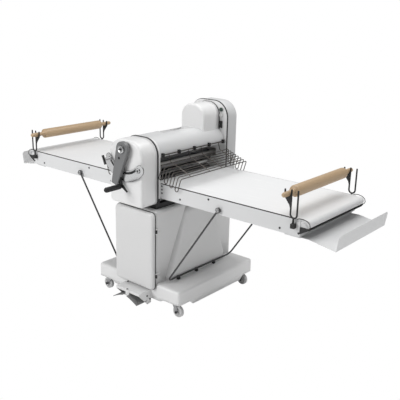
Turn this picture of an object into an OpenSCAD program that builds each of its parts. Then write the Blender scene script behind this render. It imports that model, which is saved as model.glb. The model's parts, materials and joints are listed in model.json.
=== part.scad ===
// Reversible dough sheeter on a wheeled cabinet, with two folding belt tables.
// X runs along the belts, Y across them towards the control column, Z up.
// The origin lies on the floor under the middle of the whole machine.

/* [Belts and tables] */
// Height of the belt surface above the floor
belt_top = 878; // [840:1:910]
// Thickness of the belt
belt_t = 2; // [1.5:0.1:2.5]
// Width over the side panels of a table
table_w = 650; // [600:1:700]
// Gap between a belt edge and the cheek beside it
belt_gap = 1.7; // [1:0.1:6]
// Distance from the middle of the machine to the outer end of a side panel
panel_end = 1198; // [1000:1:1400]
// Height of a side panel
panel_h = 101; // [92:1:120]
// Sheet thickness of a side panel
panel_t = 3; // [2:0.1:3.5]
// Thickness of a nose cheek
cheek_t = 3.3; // [2:0.1:4]
// Radius of the nose roller
nose_r = 22; // [16:0.5:26]
// Distance from the panel end to the nose roller axis
nose_out = 33; // [20:1:45]
// Radius of the belt drive roller
drive_r = 29; // [24:0.5:31]
// Distance from the middle of the machine to the table hinge
hinge_x = 110; // [104:1:116]
// Radius of the drive roller shaft
drive_shaft_r = 10; // [7:0.5:12]
// Radius of the nose roller shaft
nose_shaft_r = 7; // [5:0.5:9]
// Thickness of the bed sheet under the belt
bed_t = 1.5; // [1:0.1:3]
// Side of a square cross tube of the table
cross_tube = 26; // [18:1:28]
// Number of cross tubes in a table
cross_count = 4; // [3:1:6]

/* [Sheeting rollers] */
// Radius of the two sheeting rollers
roller_r = 42; // [38:0.5:44]
// Gap between the sheeting rollers
roller_gap = 22; // [16:1:26]
// Height of the lower roller above the belt surface
roller_rise = 2; // [0:0.5:4]
// Radius of the roller shafts
roller_shaft_r = 15; // [12:0.5:17]
// Width of a bearing block of the upper roller
block_w = 46; // [40:1:52]
// Height of a bearing block of the upper roller
block_h = 46; // [40:1:50]
// Travel of the upper roller above its place
lift_up = 13; // [8:1:16]
// Travel of the upper roller below its place
lift_down = 20; // [8:1:20]

/* [Front head] */
// Width of the front head
head_w = 296; // [286:1:310]
// Height of the top of the front head
head_top = 1165; // [1150:1:1200]
// Height of the underside of both heads
head_low = 738; // [730:1:744]
// Depth of the front head cover
head_depth = 141; // [120:1:170]
// Radius of the upper corners of the front head
head_round = 108; // [90:2:120]
// Radius of the lower corners of both heads
foot_round = 28; // [15:1:40]
// Rounding of the front edges of the covers
cover_edge = 15; // [8:1:20]
// Wall thickness of the covers
cover_t = 3; // [2.5:0.1:5]
// Depth of the seal under a cover
seal_d = 6; // [4:0.5:8]
// Thickness of the machine side plates
plate_t = 8; // [6:0.5:12]
// Depth of the rim around the front side plate
rim_d = 12; // [8:1:20]
// Running gap between a table and a side plate
table_gap = 1; // [0.5:0.1:4]

/* [Control column] */
// Width of the control column
column_w = 336; // [326:1:360]
// Height of the top of the control column
column_top = 1337; // [1320:1:1400]
// Depth of the column cover
column_depth = 115; // [105:1:140]
// Radius of the upper corners of the column
column_round = 115; // [90:1:130]
// Width of the control box on the roller cover
box_w = 208; // [180:1:216]
// Height of the top of the control box
box_top = 1327; // [1290:1:1330]
// Distance from the belt middle to the front of the control box
box_front = 152; // [120:1:200]
// Radius of the upper corners of the control box
box_round = 90; // [60:1:90]
// Distance of the controls from the middle of the column
control_x = 122; // [112:1:124]
// Height of the rocker switch
rocker_z = 1176; // [1170:1:1190]
// Spacing between the two buttons
button_pitch = 40; // [36:1:44]
// Distance from the rocker switch to the stop button
rocker_gap = 42; // [40:1:44]

/* [Roller cover] */
// Height of the lower edge of the roller cover
cover_low = 1048; // [1044:1:1050]
// Sheet thickness of the roller cover
roller_cover_t = 2.5; // [2:0.1:4]
// Length of the flour tray opening
flour_len = 284; // [180:1:290]
// Width of the flour tray opening
flour_w = 100; // [60:1:100]
// Depth of the flour tray
flour_depth = 38; // [25:1:38]
// Width of the flange of the flour tray
flour_flange = 8; // [5:1:10]

/* [Wire guards] */
// Height of the guard hinge
guard_z = 1062; // [1060:1:1066]
// Slope of the guard below the horizontal
guard_slope = 20.5; // [18:0.5:23]
// Radius of the guard hoop wire
wire_r = 3; // [2:0.1:3.5]
// Spacing of the guard wires
wire_pitch = 24.6; // [22:0.1:25]
// Number of hoops in a guard
hoop_count = 4; // [3:1:4]
// Distance from the guard hinge to the outermost wire
guard_reach = 215; // [205:1:225]
// Drop from the hinge to the plane of the wires
guard_drop = 45; // [40:1:50]
// Depth of the bent down ends of the hoops
skirt_d = 96; // [70:1:105]
// Lean of the bent down ends towards the machine
skirt_lean = 17; // [10:0.5:18]
// Gap between the table panels and the bent down ends
skirt_gap = 17; // [12:1:20]
// Bend radius of the hoop wire
wire_bend = 12; // [8:0.5:16]
// Distance of the outer cross wires from the middle of a guard
cross_outer = 255; // [220:1:280]
// Distance of the inner cross wires from the middle of a guard
cross_inner = 65; // [50:1:120]
// Radius of the cross wires
cross_r = 2.5; // [2:0.1:3]
// Radius of the guard hinge rod
guard_rod_r = 4; // [3:0.1:5]

/* [Lever and sector] */
// Height of the lever shaft
lever_z = 1112; // [1108:1:1116]
// Sideways place of the lever shaft
lever_x = 8; // [0:1:12]
// Length of the lever arm from the shaft to its lower end
arm_len = 236; // [210:1:240]
// Angle of the lever arm from the vertical
arm_angle = 16.6; // [10:0.1:18]
// Radius of the head of the lever arm
arm_head_r = 48; // [42:1:52]
// Thickness of the lever arm
arm_t = 24; // [18:1:30]
// Radius of the lift shaft
lift_shaft_r = 12; // [10:0.5:14]
// Outer radius of the sector
sector_out = 213; // [205:1:218]
// Inner radius of the sector
sector_in = 143; // [136:1:146]
// Width of the band of the sector that holds the slot
slot_band = 29; // [26:1:32]
// Width of the slot in the sector
sector_slot = 13; // [8:1:16]
// Thickness of the sector
sector_t = 6; // [4:0.5:6]
// Length of the grip
grip_len = 126; // [100:1:150]
// Radius of the grip
grip_r = 17; // [14:0.5:20]

/* [Cabinet] */
// Width of the cabinet at its door
cabinet_w = 356; // [340:1:370]
// Width of the swollen sides of the cabinet at their foot
swell_w = 440; // [420:1:446]
// Distance that the cabinet stands out in front of the tables
cabinet_out = 74; // [71:1:85]
// Distance that the cabinet stands out behind the tables
cabinet_out_back = 87; // [80:1:95]
// Height of the top of the cabinet
cabinet_top = 705; // [695:1:708]
// Wall thickness of the cabinet
cabinet_t = 5; // [4:0.5:8]
// Rounding of the upper edges of the cabinet
cabinet_edge = 22; // [10:1:26]
// Thickness of the door
door_t = 30; // [24:1:36]
// Height of the lower edge of the door
door_low = 160; // [156:1:170]
// Rounding of the front edge of the door
door_edge = 13; // [8:1:16]
// Radius of the corners of the door
door_round = 28; // [15:1:40]

/* [Chassis] */
// Length of the chassis along the belts
chassis_l = 764; // [740:1:800]
// Distance that the chassis stands out in front of the tables
chassis_out = 70; // [67:1:73]
// Distance that the chassis stands out behind the tables
chassis_out_back = 91; // [85:1:115]
// Height of the top of the chassis
chassis_top = 200; // [194:1:206]
// Height of the lower edge of the skirt between the castors
skirt_low = 76; // [70:1:90]
// Height of the lower edge of the skirt at the castors
skirt_high = 104; // [98:1:108]
// Wall thickness of the chassis cover
chassis_t = 5; // [4:0.5:8]
// Rounding of the upper edge of the chassis cover
chassis_edge = 26; // [12:1:32]
// Radius of the castor wheels
wheel_r = 40; // [34:1:42]
// Width of the castor wheels
wheel_w = 26; // [20:1:30]
// Trail of the castor wheels
trail = 25; // [18:1:28]
// Distance of the castor swivels from the ends of the chassis
castor_in = 70; // [64:1:80]
// Distance of the castor swivels from the front and back of the chassis
castor_side = 50; // [48:1:60]

/* [Struts] */
// Distance from the middle of the machine to the strut pivot
strut_x = 635; // [560:1:700]
// Height of the strut pivot above the lower edge of the panel
strut_up = 31; // [25:1:40]
// Radius of the strut rod
strut_r = 6; // [5:0.5:8]
// Bend radius of the strut rod
strut_bend = 42; // [25:1:60]
// Gap between the panel and the strut rod axis
strut_out = 12; // [11:1:16]
// Gap between the cabinet foot and the resting strut rod
strut_rest_gap = 4; // [2:0.5:8]
// Height of the resting strut rod above the chassis
strut_rest_z = 21; // [18:1:30]

/* [Trays] */
// Gap between a catch tray and a side panel
tray_gap = 22; // [20:1:40]
// Thickness of the tray sheet
tray_t = 2; // [1.2:0.1:3]
// Length of the sloping floor of a tray
tray_floor = 168; // [140:1:200]
// Slope of the floor of a tray
tray_slope = 9; // [5:0.5:14]
// Height of the lip of a tray
tray_lip = 92; // [70:1:110]
// How far the right tray is drawn out
tray_drawn = 40; // [10:1:50]

/* [Forks and rolling pins] */
// Distance from the middle of the machine to the fork
fork_x = 1160; // [1100:1:1175]
// Spacing of the tines of a fork
tine_gap = 42; // [38:1:50]
// Radius of the fork rod
tine_r = 5; // [4:0.5:6]
// Height of the fork tines above the belt
tine_h = 160; // [120:1:180]
// Radius of the rolling pin barrel
pin_r = 34; // [28:1:36]
// Length of the rolling pin barrel
pin_len = 566; // [500:1:590]
// Length of the rolling pin over its handles
pin_total = 792; // [760:1:820]
// Radius of the rolling pin handles
handle_r = 15; // [12:0.5:15]
// Height of the rolling pin axis above the belt
pin_h = 137; // [110:1:150]

/* [Pedal] */
// Length of the pedal bracket along the belts
pedal_l = 220; // [180:1:260]
// Sideways place of the pedal bracket
pedal_x = 22; // [0:1:30]
// Reach of the pedal bracket in front of the chassis
pedal_out = 112; // [90:1:130]
// Height of the top of the pedal bracket
pedal_top = 150; // [146:1:152]
// Slope of the two wings of the pedal
pedal_slope = 14; // [8:1:18]

/* [Hidden] */
$fn = 48;

white = [0.9, 0.9, 0.9];
pale = [0.82, 0.83, 0.84];
steel = [0.72, 0.73, 0.74];
wire_grey = [0.5, 0.49, 0.47];
black = [0.1, 0.1, 0.1];
dark_grey = [0.36, 0.36, 0.37];
wood = [0.83, 0.7, 0.52];

// Clearances shared by the fits
run_fit = 0.05;
slide_fit = 0.3;
roll_gap = 0.3;
stand_off = 0.1;
// A bend is a hair thicker than the straight rod that it joins
bend_grow = 0.03;

// Across the belts
half_table = table_w / 2;
panel_inner = half_table - panel_t;
belt_half = panel_inner - cheek_t - belt_gap;
tray_w = 2 * (panel_inner - tray_gap);
cabinet_front = half_table + cabinet_out;
cabinet_back = half_table + cabinet_out_back;
chassis_front = half_table + chassis_out;
chassis_back = half_table + chassis_out_back;
plate_in = half_table + table_gap;
plate_out = plate_in + plate_t;
rim_out = plate_out + rim_d;
seal_out = rim_out + seal_d;
head_face = seal_out + head_depth;
column_seal_out = plate_out + seal_d;
column_face = column_seal_out + column_depth;

// Along the belts
nose_x = panel_end + nose_out;
nose_z = belt_top - belt_t - roll_gap - nose_r;
hinge_z = belt_top - belt_t - roll_gap - drive_r;
panel_low = belt_top - panel_h;
belt_inner = roll_gap;
low_axis = belt_top + roller_rise - roller_r;
up_axis = belt_top + roller_rise + roller_gap + roller_r;

// Lever
arm_back_gap = 2;
spacer_h = 7;
sector_back = head_face + spacer_h;
sector_front = sector_back + sector_t;
arm_back = sector_front + arm_back_gap;
arm_face = arm_back + arm_t;
grip_tip = arm_face + grip_len;

// The machine sits so that the box around it has the origin at its middle
line_y = (grip_tip - column_face) / 2;
line_x = -tray_drawn / 2;

// Lift mechanism
crank_radius = 32;
crank_pin_r = 6;
crank_rest = 7;
crank_t = 8;
yoke_t = 8;
yoke_clear = 0.8;
block_out = 6;
yoke_in = plate_out + block_out;
yoke_out = yoke_in + yoke_t;
crank_in = yoke_out + 6;
crank_out = crank_in + crank_t;

// Castor places as x, y, and the way the wheel trails
swivel_x = chassis_l / 2 - castor_in;
castor_places = [[swivel_x, -chassis_front + castor_side, 1], [-swivel_x, -chassis_front + castor_side, -1],
    [swivel_x, chassis_back - castor_side, 1], [-swivel_x, chassis_back - castor_side, -1]];
castor_plate_t = 6;
swivel_top = skirt_high + castor_plate_t;

// Strut
strut_z = panel_low + strut_up;
strut_y = half_table + strut_out;
rest_x = swell_w / 2 + strut_rest_gap + strut_r;
rest_z = chassis_top + strut_rest_z;
strut_dx = strut_x - rest_x;
strut_dz = strut_z - rest_z;
strut_len = norm([strut_dx, strut_dz]);
strut_angle = atan2(strut_dx, strut_dz);
strut_eye_t = 13;
stud_r = 9;

// Fork and pin
fork_y = half_table + 15;
pin_z = belt_top + pin_h;
pin_x = fork_x - tine_gap / 2 - tine_r - handle_r - 1;

// Places everything that stands on the belt line
module line() { translate([line_x, line_y, 0]) children(); }

// The left parts mirror the right ones
module side(s) { if (s > 0) children(); else mirror([1, 0, 0]) children(); }

// An outline drawn in x and z, extruded along y
module along_y(y0, y1) { translate([0, y1, 0]) rotate([90, 0, 0]) linear_extrude(y1 - y0) children(); }

// An outline drawn in y and z, extruded along x
module along_x(x0, x1) { translate([x0, 0, 0]) rotate([90, 0, 90]) linear_extrude(x1 - x0) children(); }

// A round bar along y
module bar_y(x, z, y0, y1, r) { translate([x, y0, z]) rotate([-90, 0, 0]) cylinder(h = y1 - y0, r = r); }

// A round bar along x
module bar_x(y, z, x0, x1, r) { translate([x0, y, z]) rotate([0, 90, 0]) cylinder(h = x1 - x0, r = r); }

// A block given by its lower and upper corners
module block(a, b) { translate(a) cube(b - a); }

// Outline with rounded upper and lower corners, centred on x = 0
module arch(w, low, high, r_top, r_low) {
    translate([-w / 2, low + r_low]) square([w, high - r_top - low - r_low]);
    translate([r_top - w / 2, high - r_top - 1]) square([w - 2 * r_top, r_top + 1]);
    translate([r_low - w / 2, low]) square([w - 2 * r_low, r_low + 1]);
    for (m = [-1, 1]) {
        translate([m * (w / 2 - r_top), high - r_top]) circle(r = r_top);
        translate([m * (w / 2 - r_low), low + r_low]) circle(r = r_low);
    }
}

// A casing along -y with a softly rounded front edge
module casing(w, low, high, r_top, r_low, back, face, edge) {
    steps = 4;
    hull() {
        along_y(-back - 1, -back) arch(w, low, high, r_top, r_low, $fn = 32);
        for (i = [0:steps]) {
            a = 90 * i / steps;
            in = edge * (1 - cos(a));
            y = face - edge * (1 - sin(a));
            along_y(-y, -y + 0.1)
                arch(w - 2 * in, low + in, high - in, r_top - in * 0.9, max(r_low - in * 0.9, 1), $fn = 32);
        }
    }
}

// The same casing as an open shell
module shell(w, low, high, r_top, r_low, back, face, edge, t) {
    difference() {
        casing(w, low, high, r_top, r_low, back, face, edge);
        casing(w - 2 * t, low + t, high - t, r_top - t, max(r_low - t, 2), back - 5, face - t, max(edge - t, 2));
    }
}

// A ring that follows an arch
module arch_ring(w, low, high, r_top, r_low, t) {
    difference() {
        arch(w, low, high, r_top, r_low);
        arch(w - 2 * t, low + t, high - t, r_top - t, r_low - t);
    }
}

// A taut loop round two circles, as a row of points
function loop_path(c, r, d, q, n = 24) =
    let (a = atan2(d[1] - c[1], d[0] - c[0]), h = acos((r - q) / norm(d - c)))
    concat([for (i = [0:n]) let (f = a + h + i * (360 - 2 * h) / n) c + r * [cos(f), sin(f)]],
        [for (i = [0:n]) let (f = a - h + i * 2 * h / n) d + q * [cos(f), sin(f)]]);
module loop_ring(c, r, d, q, t) {
    difference() {
        polygon(loop_path(c, r + t, d, q + t));
        polygon(loop_path(c, r, d, q));
    }
}

// A flat bar with round ends
module slot(p, q, r) {
    d = q - p;
    translate(p) rotate(atan2(d[1], d[0])) translate([0, -r]) square([norm(d), 2 * r]);
    translate(p) circle(r = r);
    translate(q) circle(r = r);
}

// A part of a ring between two angles
module arc_band(r_in, r_out, a0, a1) {
    difference() {
        circle(r = r_out, $fn = 96);
        circle(r = r_in, $fn = 96);
        rotate(a1) translate([-r_out - 1, 0]) square([2 * r_out + 2, r_out + 1]);
        rotate(a0) translate([-r_out - 1, -r_out - 1]) square([2 * r_out + 2, r_out + 1]);
    }
}

// Chassis
// Lifts the lower edge of the skirt near its corners
module skirt_cut(len, low, high, reach) {
    rise = high - low;
    polygon([[-len - 1, low - 60], [-len - 1, high], [-len + reach, high], [-len + reach + rise, low],
        [len - reach - rise, low], [len - reach, high], [len + 1, high], [len + 1, low - 60]]);
}
module chassis_slab(l, y0, y1, low, high, r, edge) {
    steps = 4;
    hull() {
        for (i = [0:steps]) {
            a = 90 * i / steps;
            in = edge * (1 - cos(a));
            z = high - edge * (1 - sin(a));
            for (x = [-1, 1]) {
                for (y = [y0 + r, y1 - r])
                    translate([x * (l / 2 - r), y, i == 0 ? low : z - 0.1]) cylinder(h = 0.1, r = r - in * 0.9, $fn = 24);
            }
            translate([-l / 2 + in, y0 + r, z - 0.1]) cube([l - 2 * in, y1 - y0 - 2 * r, 0.1]);
            translate([-l / 2 + r, y0 + in, z - 0.1]) cube([l - 2 * r, y1 - y0 - 2 * in, 0.1]);
        }
        translate([-l / 2, y0 + r, low]) cube([l, y1 - y0 - 2 * r, 0.1]);
        translate([-l / 2 + r, y0, low]) cube([l - 2 * r, y1 - y0, 0.1]);
    }
}
module chassis_cover() {
    turning = wheel_r + trail;
    corner = chassis_edge + 6;
    mid_y = (chassis_back - chassis_front) / 2;
    half_y = (chassis_back + chassis_front) / 2;
    color(white) line() difference() {
        chassis_slab(chassis_l, -chassis_front, chassis_back, skirt_low, chassis_top, chassis_edge + 4, chassis_edge);
        chassis_slab(chassis_l - 2 * chassis_t, chassis_t - chassis_front, chassis_back - chassis_t, skirt_low - 10,
            chassis_top - chassis_t, chassis_edge, chassis_edge - chassis_t);
        for (y = [-chassis_front, chassis_back])
            along_y(y - corner, y + corner) skirt_cut(chassis_l / 2, skirt_low + 12, skirt_high, castor_in + turning);
        for (x = [-1, 1]) translate([x * chassis_l / 2, mid_y, 0])
            along_x(-corner, corner) skirt_cut(half_y, skirt_low, skirt_high, castor_side + turning);
    }
}
rail_w = 40;
module hollow_rail(a, b, t) {
    // Rectangular tube, open along its longer side
    long_y = b[1] - a[1] > b[0] - a[0];
    e = long_y ? [t, -1, t] : [-1, t, t];
    difference() {
        block(a, b);
        block(a + e, b - e);
    }
}
module chassis_frame() {
    y0 = castor_places[0][1];
    y1 = castor_places[2][1];
    top = chassis_top - chassis_t;
    color(dark_grey) line() difference() {
        union() {
            for (p = castor_places)
                block([p[0] - 45, p[1] - 38, skirt_high], [p[0] + 45, p[1] + 38, swivel_top]);
            for (s = [-1, 1])
                hollow_rail([s * swivel_x - rail_w / 2, y0 - 12, swivel_top], [s * swivel_x + rail_w / 2, y1 + 12, top], 4);
            for (y = [y0 + 40, y1 - 40])
                hollow_rail([-swivel_x + rail_w / 2, y - rail_w / 2, swivel_top],
                    [swivel_x - rail_w / 2, y + rail_w / 2, top], 4);
        }
        for (p = castor_places)
            translate([p[0], p[1], skirt_high - 1]) cylinder(h = swivel_top - skirt_high + 6, r = stem_r + run_fit);
    }
}

// Castors
fork_gap = 2;
fork_t = 3;
axle_r = 5;
stem_r = 8;
module castor_fork(i) {
    p = castor_places[i];
    inner = wheel_w / 2 + fork_gap;
    crown = skirt_high - 0.5;
    color(black) line() translate([p[0], p[1], 0]) scale([p[2], 1, 1]) {
        translate([0, 0, crown - 14]) cylinder(h = 14, r = 27);
        translate([0, 0, crown - 1]) cylinder(h = castor_plate_t + 3, r = stem_r);
        for (s = [-1, 1]) along_y(s > 0 ? inner : -inner - fork_t, s > 0 ? inner + fork_t : -inner)
            {
                polygon([[-16, crown - 14], [16, crown - 14], [trail + 11, wheel_r + 6], [trail - 11, wheel_r - 6]]);
                translate([trail, wheel_r]) circle(r = 12);
            }
        bar_y(trail, wheel_r, -inner - fork_t - 5, inner + fork_t + 5, axle_r);
        for (s = [-1, 1]) bar_y(trail, wheel_r, s > 0 ? inner + fork_t : -inner - fork_t - 5,
            s > 0 ? inner + fork_t + 5 : -inner - fork_t, 8);
    }
}
module castor_wheel(i) {
    p = castor_places[i];
    color(pale) line() translate([p[0] + p[2] * trail, p[1], wheel_r]) rotate([90, 0, 0]) rotate_extrude() {
        difference() {
            union() {
                translate([axle_r + run_fit, -wheel_w / 2]) square([wheel_r - 10 - axle_r - run_fit, wheel_w]);
                translate([wheel_r - 12, 4 - wheel_w / 2]) square([12, wheel_w - 8]);
                for (s = [-1, 1]) translate([wheel_r - 10, s * (wheel_w / 2 - 8)]) circle(r = 8);
            }
            for (s = [-1, 1]) translate([15, s * wheel_w / 2 - 4]) square([wheel_r - 29, 8]);
            translate([wheel_r, -wheel_w]) square([20, 2 * wheel_w]);
        }
    }
}

// Cabinet
hinge_pin_x = cabinet_w / 2 + 6;
knuckle_r = 5.5;
hinge_pin_r = 2.5;
hinge_heights = [door_low + 100, cabinet_top - 132];
door_back = cabinet_front + 1;
door_face = door_back + door_t;
door_top = cabinet_top - 8;
swell_front = 300;
swell_back = 300;
swell_top_front = 117;
swell_top_back = 150;
module swell(in) {
    // The sides swell out towards the strut rests, less so near the top
    r = 34;
    hull() {
        for (x = [-1, 1]) {
            for (y = [r + in - swell_front, swell_back - r - in])
                translate([x * (swell_w / 2 - r - in), y, chassis_top + in]) cylinder(h = 40, r = r, $fn = 32);
            for (y = [r + in - swell_top_front, swell_top_back - r - in])
                translate([x * (cabinet_w / 2 + 12 - r - in), y, cabinet_top - 50]) cylinder(h = 20 - in, r = r, $fn = 32);
        }
    }
}
chain_y = column_seal_out + 36;
chain_w = 8;
module cabinet_shell() {
    y0 = -cabinet_front;
    y1 = cabinet_back;
    door_hole = cabinet_w / 2 - 28;
    color(pale) line() difference() {
        union() {
            chassis_slab(cabinet_w, y0, y1, chassis_top, cabinet_top, cabinet_edge + 4, cabinet_edge);
            swell(0);
        }
        block([cabinet_t - cabinet_w / 2, y0 + cabinet_t, chassis_top + cabinet_t],
            [cabinet_w / 2 - cabinet_t, y1 - cabinet_t, cabinet_top - cabinet_t - 2]);
        swell(cabinet_t);
        block([-door_hole, y0 - 2, chassis_top + 40], [door_hole, y0 + cabinet_t + 2, cabinet_top - 45]);
        block([-48, chain_y - 20, cabinet_top - 20], [48, chain_y + chain_w + 12, cabinet_top + 5]);
    }
}
module door_slab(in, edge, back) {
    casing(cabinet_w - 2 * in, door_low + in, door_top - in, door_round - in, door_round - in, back, door_face - in, edge);
}
module cabinet_door() {
    color(pale) line() {
        difference() {
            union() {
                difference() {
                    door_slab(0, door_edge, door_back);
                    door_slab(4, door_edge - 3, door_back - 6);
                }
                for (z = hinge_heights) {
                    bar_z(hinge_pin_x, 0.5 - cabinet_front, z - 8, z + 8, knuckle_r);
                    block([cabinet_w / 2 - 1, -door_back - 18, z - 8], [cabinet_w / 2 + 3, 0.5 - cabinet_front - 1, z + 8]);
                }
            }
            for (z = hinge_heights)
                bar_z(hinge_pin_x, 0.5 - cabinet_front, z - 10, z + 10, hinge_pin_r + run_fit);
        }
    }
}
module bar_z(x, y, z0, z1, r) { translate([x, y, z0]) cylinder(h = z1 - z0, r = r); }
module door_hinges() {
    color(black) line() for (z = hinge_heights) {
        for (s = [-1, 1]) {
            z0 = s > 0 ? z + 8.3 : z - 18.3;
            bar_z(hinge_pin_x, 0.5 - cabinet_front, z0, z0 + 10, knuckle_r);
            block([cabinet_w / 2, 0.5 - cabinet_front - 1, z0], [cabinet_w / 2 + 3, 40 - cabinet_front, z0 + 10]);
        }
        bar_z(hinge_pin_x, 0.5 - cabinet_front, z - 19, z + 19, hinge_pin_r);
    }
}

// Drive
motor_z = chassis_top + 130;
gear_back = chain_y - 10;
sprocket_r = 30;
chain_t = 6;
module drive_motor() {
    floor_z = chassis_top + cabinet_t;
    color(dark_grey) line() {
        bar_y(0, motor_z, 90, gear_back - 80, 68);
        bar_y(0, motor_z, 78, 90, 60);
        for (i = [0:7]) bar_y(0, motor_z, 100 + i * 18, 104 + i * 18, 74);
        block([-62, gear_back - 80, floor_z + 12], [62, gear_back, motor_z + 70]);
        block([-90, 110, floor_z], [90, gear_back, floor_z + 12]);
        block([-20, 120, floor_z], [20, gear_back - 94, motor_z - 60]);
        bar_y(0, motor_z, gear_back - 1, chain_y + chain_w + 6, 12);
        bar_y(0, motor_z, chain_y, chain_y + chain_w, sprocket_r);
    }
}
side_chain = [column_seal_out + 8, column_seal_out + 21];
module drive_chains() {
    color(dark_grey) line() {
        along_y(chain_y, chain_y + chain_w)
            loop_ring([0, low_axis], sprocket_r + roll_gap, [0, motor_z], sprocket_r + roll_gap, chain_t);
        for (i = [0, 1]) along_y(side_chain[i], side_chain[i] + chain_w)
            loop_ring([0, low_axis], sprocket_r + roll_gap, [(1 - 2 * i) * hinge_x, hinge_z], sprocket_r + roll_gap, chain_t);
    }
}

// Frame of the machine
module base_frame() {
    bar = 40;
    x = head_w / 2 - 8;
    color(black) line() {
        difference() {
            block([-x, -seal_out, cabinet_top], [x, column_face - 20, head_low]);
            block([bar - x, bar - seal_out, cabinet_top - 1], [x - bar, column_face - 20 - bar, head_low + 1]);
        }
        for (s = [-1, 1]) bar_y(s * 50, head_low + 30, -plate_in, plate_in, 10);
    }
}
lever_fit = lift_shaft_r + run_fit;
slot_high = up_axis + block_h / 2 + lift_up + 3;
slot_low = up_axis - block_h / 2 - lift_down - 3;
bush_r = roller_shaft_r + 7;
module plate_holes() {
    half = block_w / 2 + slide_fit;
    translate([-half, slot_low]) square([2 * half, slot_high - slot_low]);
    translate([0, low_axis]) circle(r = bush_r);
    for (s = [-1, 1]) translate([s * hinge_x, hinge_z]) circle(r = drive_shaft_r + run_fit);
    translate([lever_x, lever_z]) circle(r = lever_fit);
}
module front_side_plate() {
    color(white) line() {
        along_y(-plate_out, -plate_in) difference() {
            arch(head_w, head_low, head_top, head_round, foot_round);
            plate_holes();
        }
        along_y(-rim_out, -plate_out) arch_ring(head_w, head_low, head_top, head_round, foot_round, 4);
    }
}
rocker_w = 22;
tilt_fit = 1.2;
rocker_h = 48;
button_r = 14;
stop_z = rocker_z + rocker_h / 2 + rocker_gap;
start_z = stop_z + button_pitch;
module rear_side_plate() {
    color(white) line() along_y(plate_in, plate_out) difference() {
        arch(column_w, head_low, column_top, column_round, foot_round);
        plate_holes();
        translate([control_x - rocker_w / 2 - slide_fit, rocker_z - rocker_h / 2 - tilt_fit])
            square([rocker_w + 2 * slide_fit, rocker_h + 2 * tilt_fit]);
        for (z = [stop_z, start_z]) translate([control_x, z]) circle(r = button_r - 4 + run_fit);
    }
}
module front_head_cover() {
    color(white) line() difference() {
        shell(head_w, head_low, head_top, head_round, foot_round, seal_out, head_face, cover_edge, cover_t);
        bar_y(lever_x, lever_z, -head_face - 5, 5 - head_face + cover_edge, lift_shaft_r + 2);
    }
}
module front_head_seal() {
    color(black) line() along_y(-seal_out, -rim_out)
        arch_ring(head_w - 4, head_low + 2, head_top - 2, head_round - 2, foot_round - 2, 8);
}
module column_cover() {
    color(pale) line() difference() {
        mirror([0, 1, 0])
            shell(column_w, head_low, column_top, column_round, foot_round, column_seal_out, column_face, cover_edge, cover_t);
        block([-50, chain_y - 8, head_low - 1], [50, chain_y + chain_w + 8, head_low + cover_t + 1]);
    }
}
module column_seal() {
    color(black) line() along_y(plate_out, column_seal_out)
        arch_ring(column_w - 4, head_low + 2, column_top - 2, column_round - 2, foot_round - 2, 8);
}
module roller_arch(grow) {
    arch(head_w + 2 * grow, cover_low - 200, head_top + grow, head_round + grow, 20);
}
module control_box() {
    t = cover_t;
    color(white) line() difference() {
        box_casing(0, cover_edge);
        box_casing(t, cover_edge - t);
        along_y(box_front - 50, plate_in + 1) roller_arch(stand_off);
    }
}
module box_casing(in, edge) {
    back = plate_in + (in > 0 ? 1 : 0);
    translate([0, plate_in, 0]) translate([0, in > 0 ? 1 : 0, 0])
        casing(box_w - 2 * in, head_top - 80, box_top - in, box_round - in, 10, 0, plate_in - box_front - in + (in > 0 ? 1 : 0), edge);
}
flour_x0 = -flour_w;
flour_mid = 2;
flour_y0 = flour_mid - flour_len / 2;
flour_y1 = flour_mid + flour_len / 2;
module roller_cover() {
    color(pale) line() difference() {
        along_y(-plate_in, plate_in) difference() {
            roller_arch(0);
            roller_arch(-roller_cover_t);
            translate([-head_w, head_low]) square([2 * head_w, cover_low - head_low]);
        }
        block([flour_x0, flour_y0, head_top - flour_depth - 8], [0, flour_y1, head_top + 5]);
    }
}
module flour_tray() {
    t = 1.5;
    g = slide_fit;
    low = head_top - flour_depth;
    over = head_top + 10;
    color(steel) line() difference() {
        intersection() {
            along_y(flour_y0 - flour_flange, flour_y1 + flour_flange) roller_arch(stand_off + t);
            union() {
                block([flour_x0 + g, flour_y0 + g, low], [-g, flour_y1 - g, over]);
                difference() {
                    block([flour_x0 - flour_flange, flour_y0 - flour_flange, low], [flour_flange, flour_y1 + flour_flange, over]);
                    along_y(-plate_in, plate_in) roller_arch(stand_off);
                }
            }
        }
        block([flour_x0 + g + t, flour_y0 + g + t, low + t], [-g - t, flour_y1 - g - t, over]);
    }
}

// Wire guards
guard_x = head_w / 2 + 8;
guard_end = half_table + skirt_gap + wire_r;
hinge_block_w = 16;
hinge_block_y = [for (i = [-2:2]) i * (plate_in - 16) / 2];
module guard_hinge_blocks() {
    color(black) line() for (s = [-1, 1]) side(s) for (y = hinge_block_y)
        along_y(y - hinge_block_w / 2, y + hinge_block_w / 2) difference() {
            translate([guard_x - 16, guard_z - 12]) square([24, 24]);
            roller_arch(stand_off);
            translate([guard_x, guard_z]) circle(r = guard_rod_r + run_fit);
        }
}
module elbow(r, bend) { rotate_extrude(angle = 90, $fn = 48) translate([bend, 0]) circle(r = r, $fn = 24); }
// The bent down end of a hoop, turned about its inner wire
module skirt(turn) {
    outer = [wire_pitch * cos(turn), wire_pitch * sin(turn)];
    half = outer[0] / 2;
    low = half - skirt_d;
    rotate([0, turn, 0]) {
        for (p = [[0, 0], outer]) {
            translate([p[0], 0, p[1] - wire_bend]) rotate([90, 0, 90]) elbow(wire_r + bend_grow, wire_bend);
            translate([p[0], wire_bend, low]) cylinder(h = p[1] - wire_bend - low, r = wire_r, $fn = 24);
        }
        translate([half, wire_bend, low]) rotate([90, 180, 0])
            rotate_extrude(angle = 180, $fn = 48) translate([half, 0]) circle(r = wire_r + bend_grow, $fn = 24);
    }
}
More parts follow.
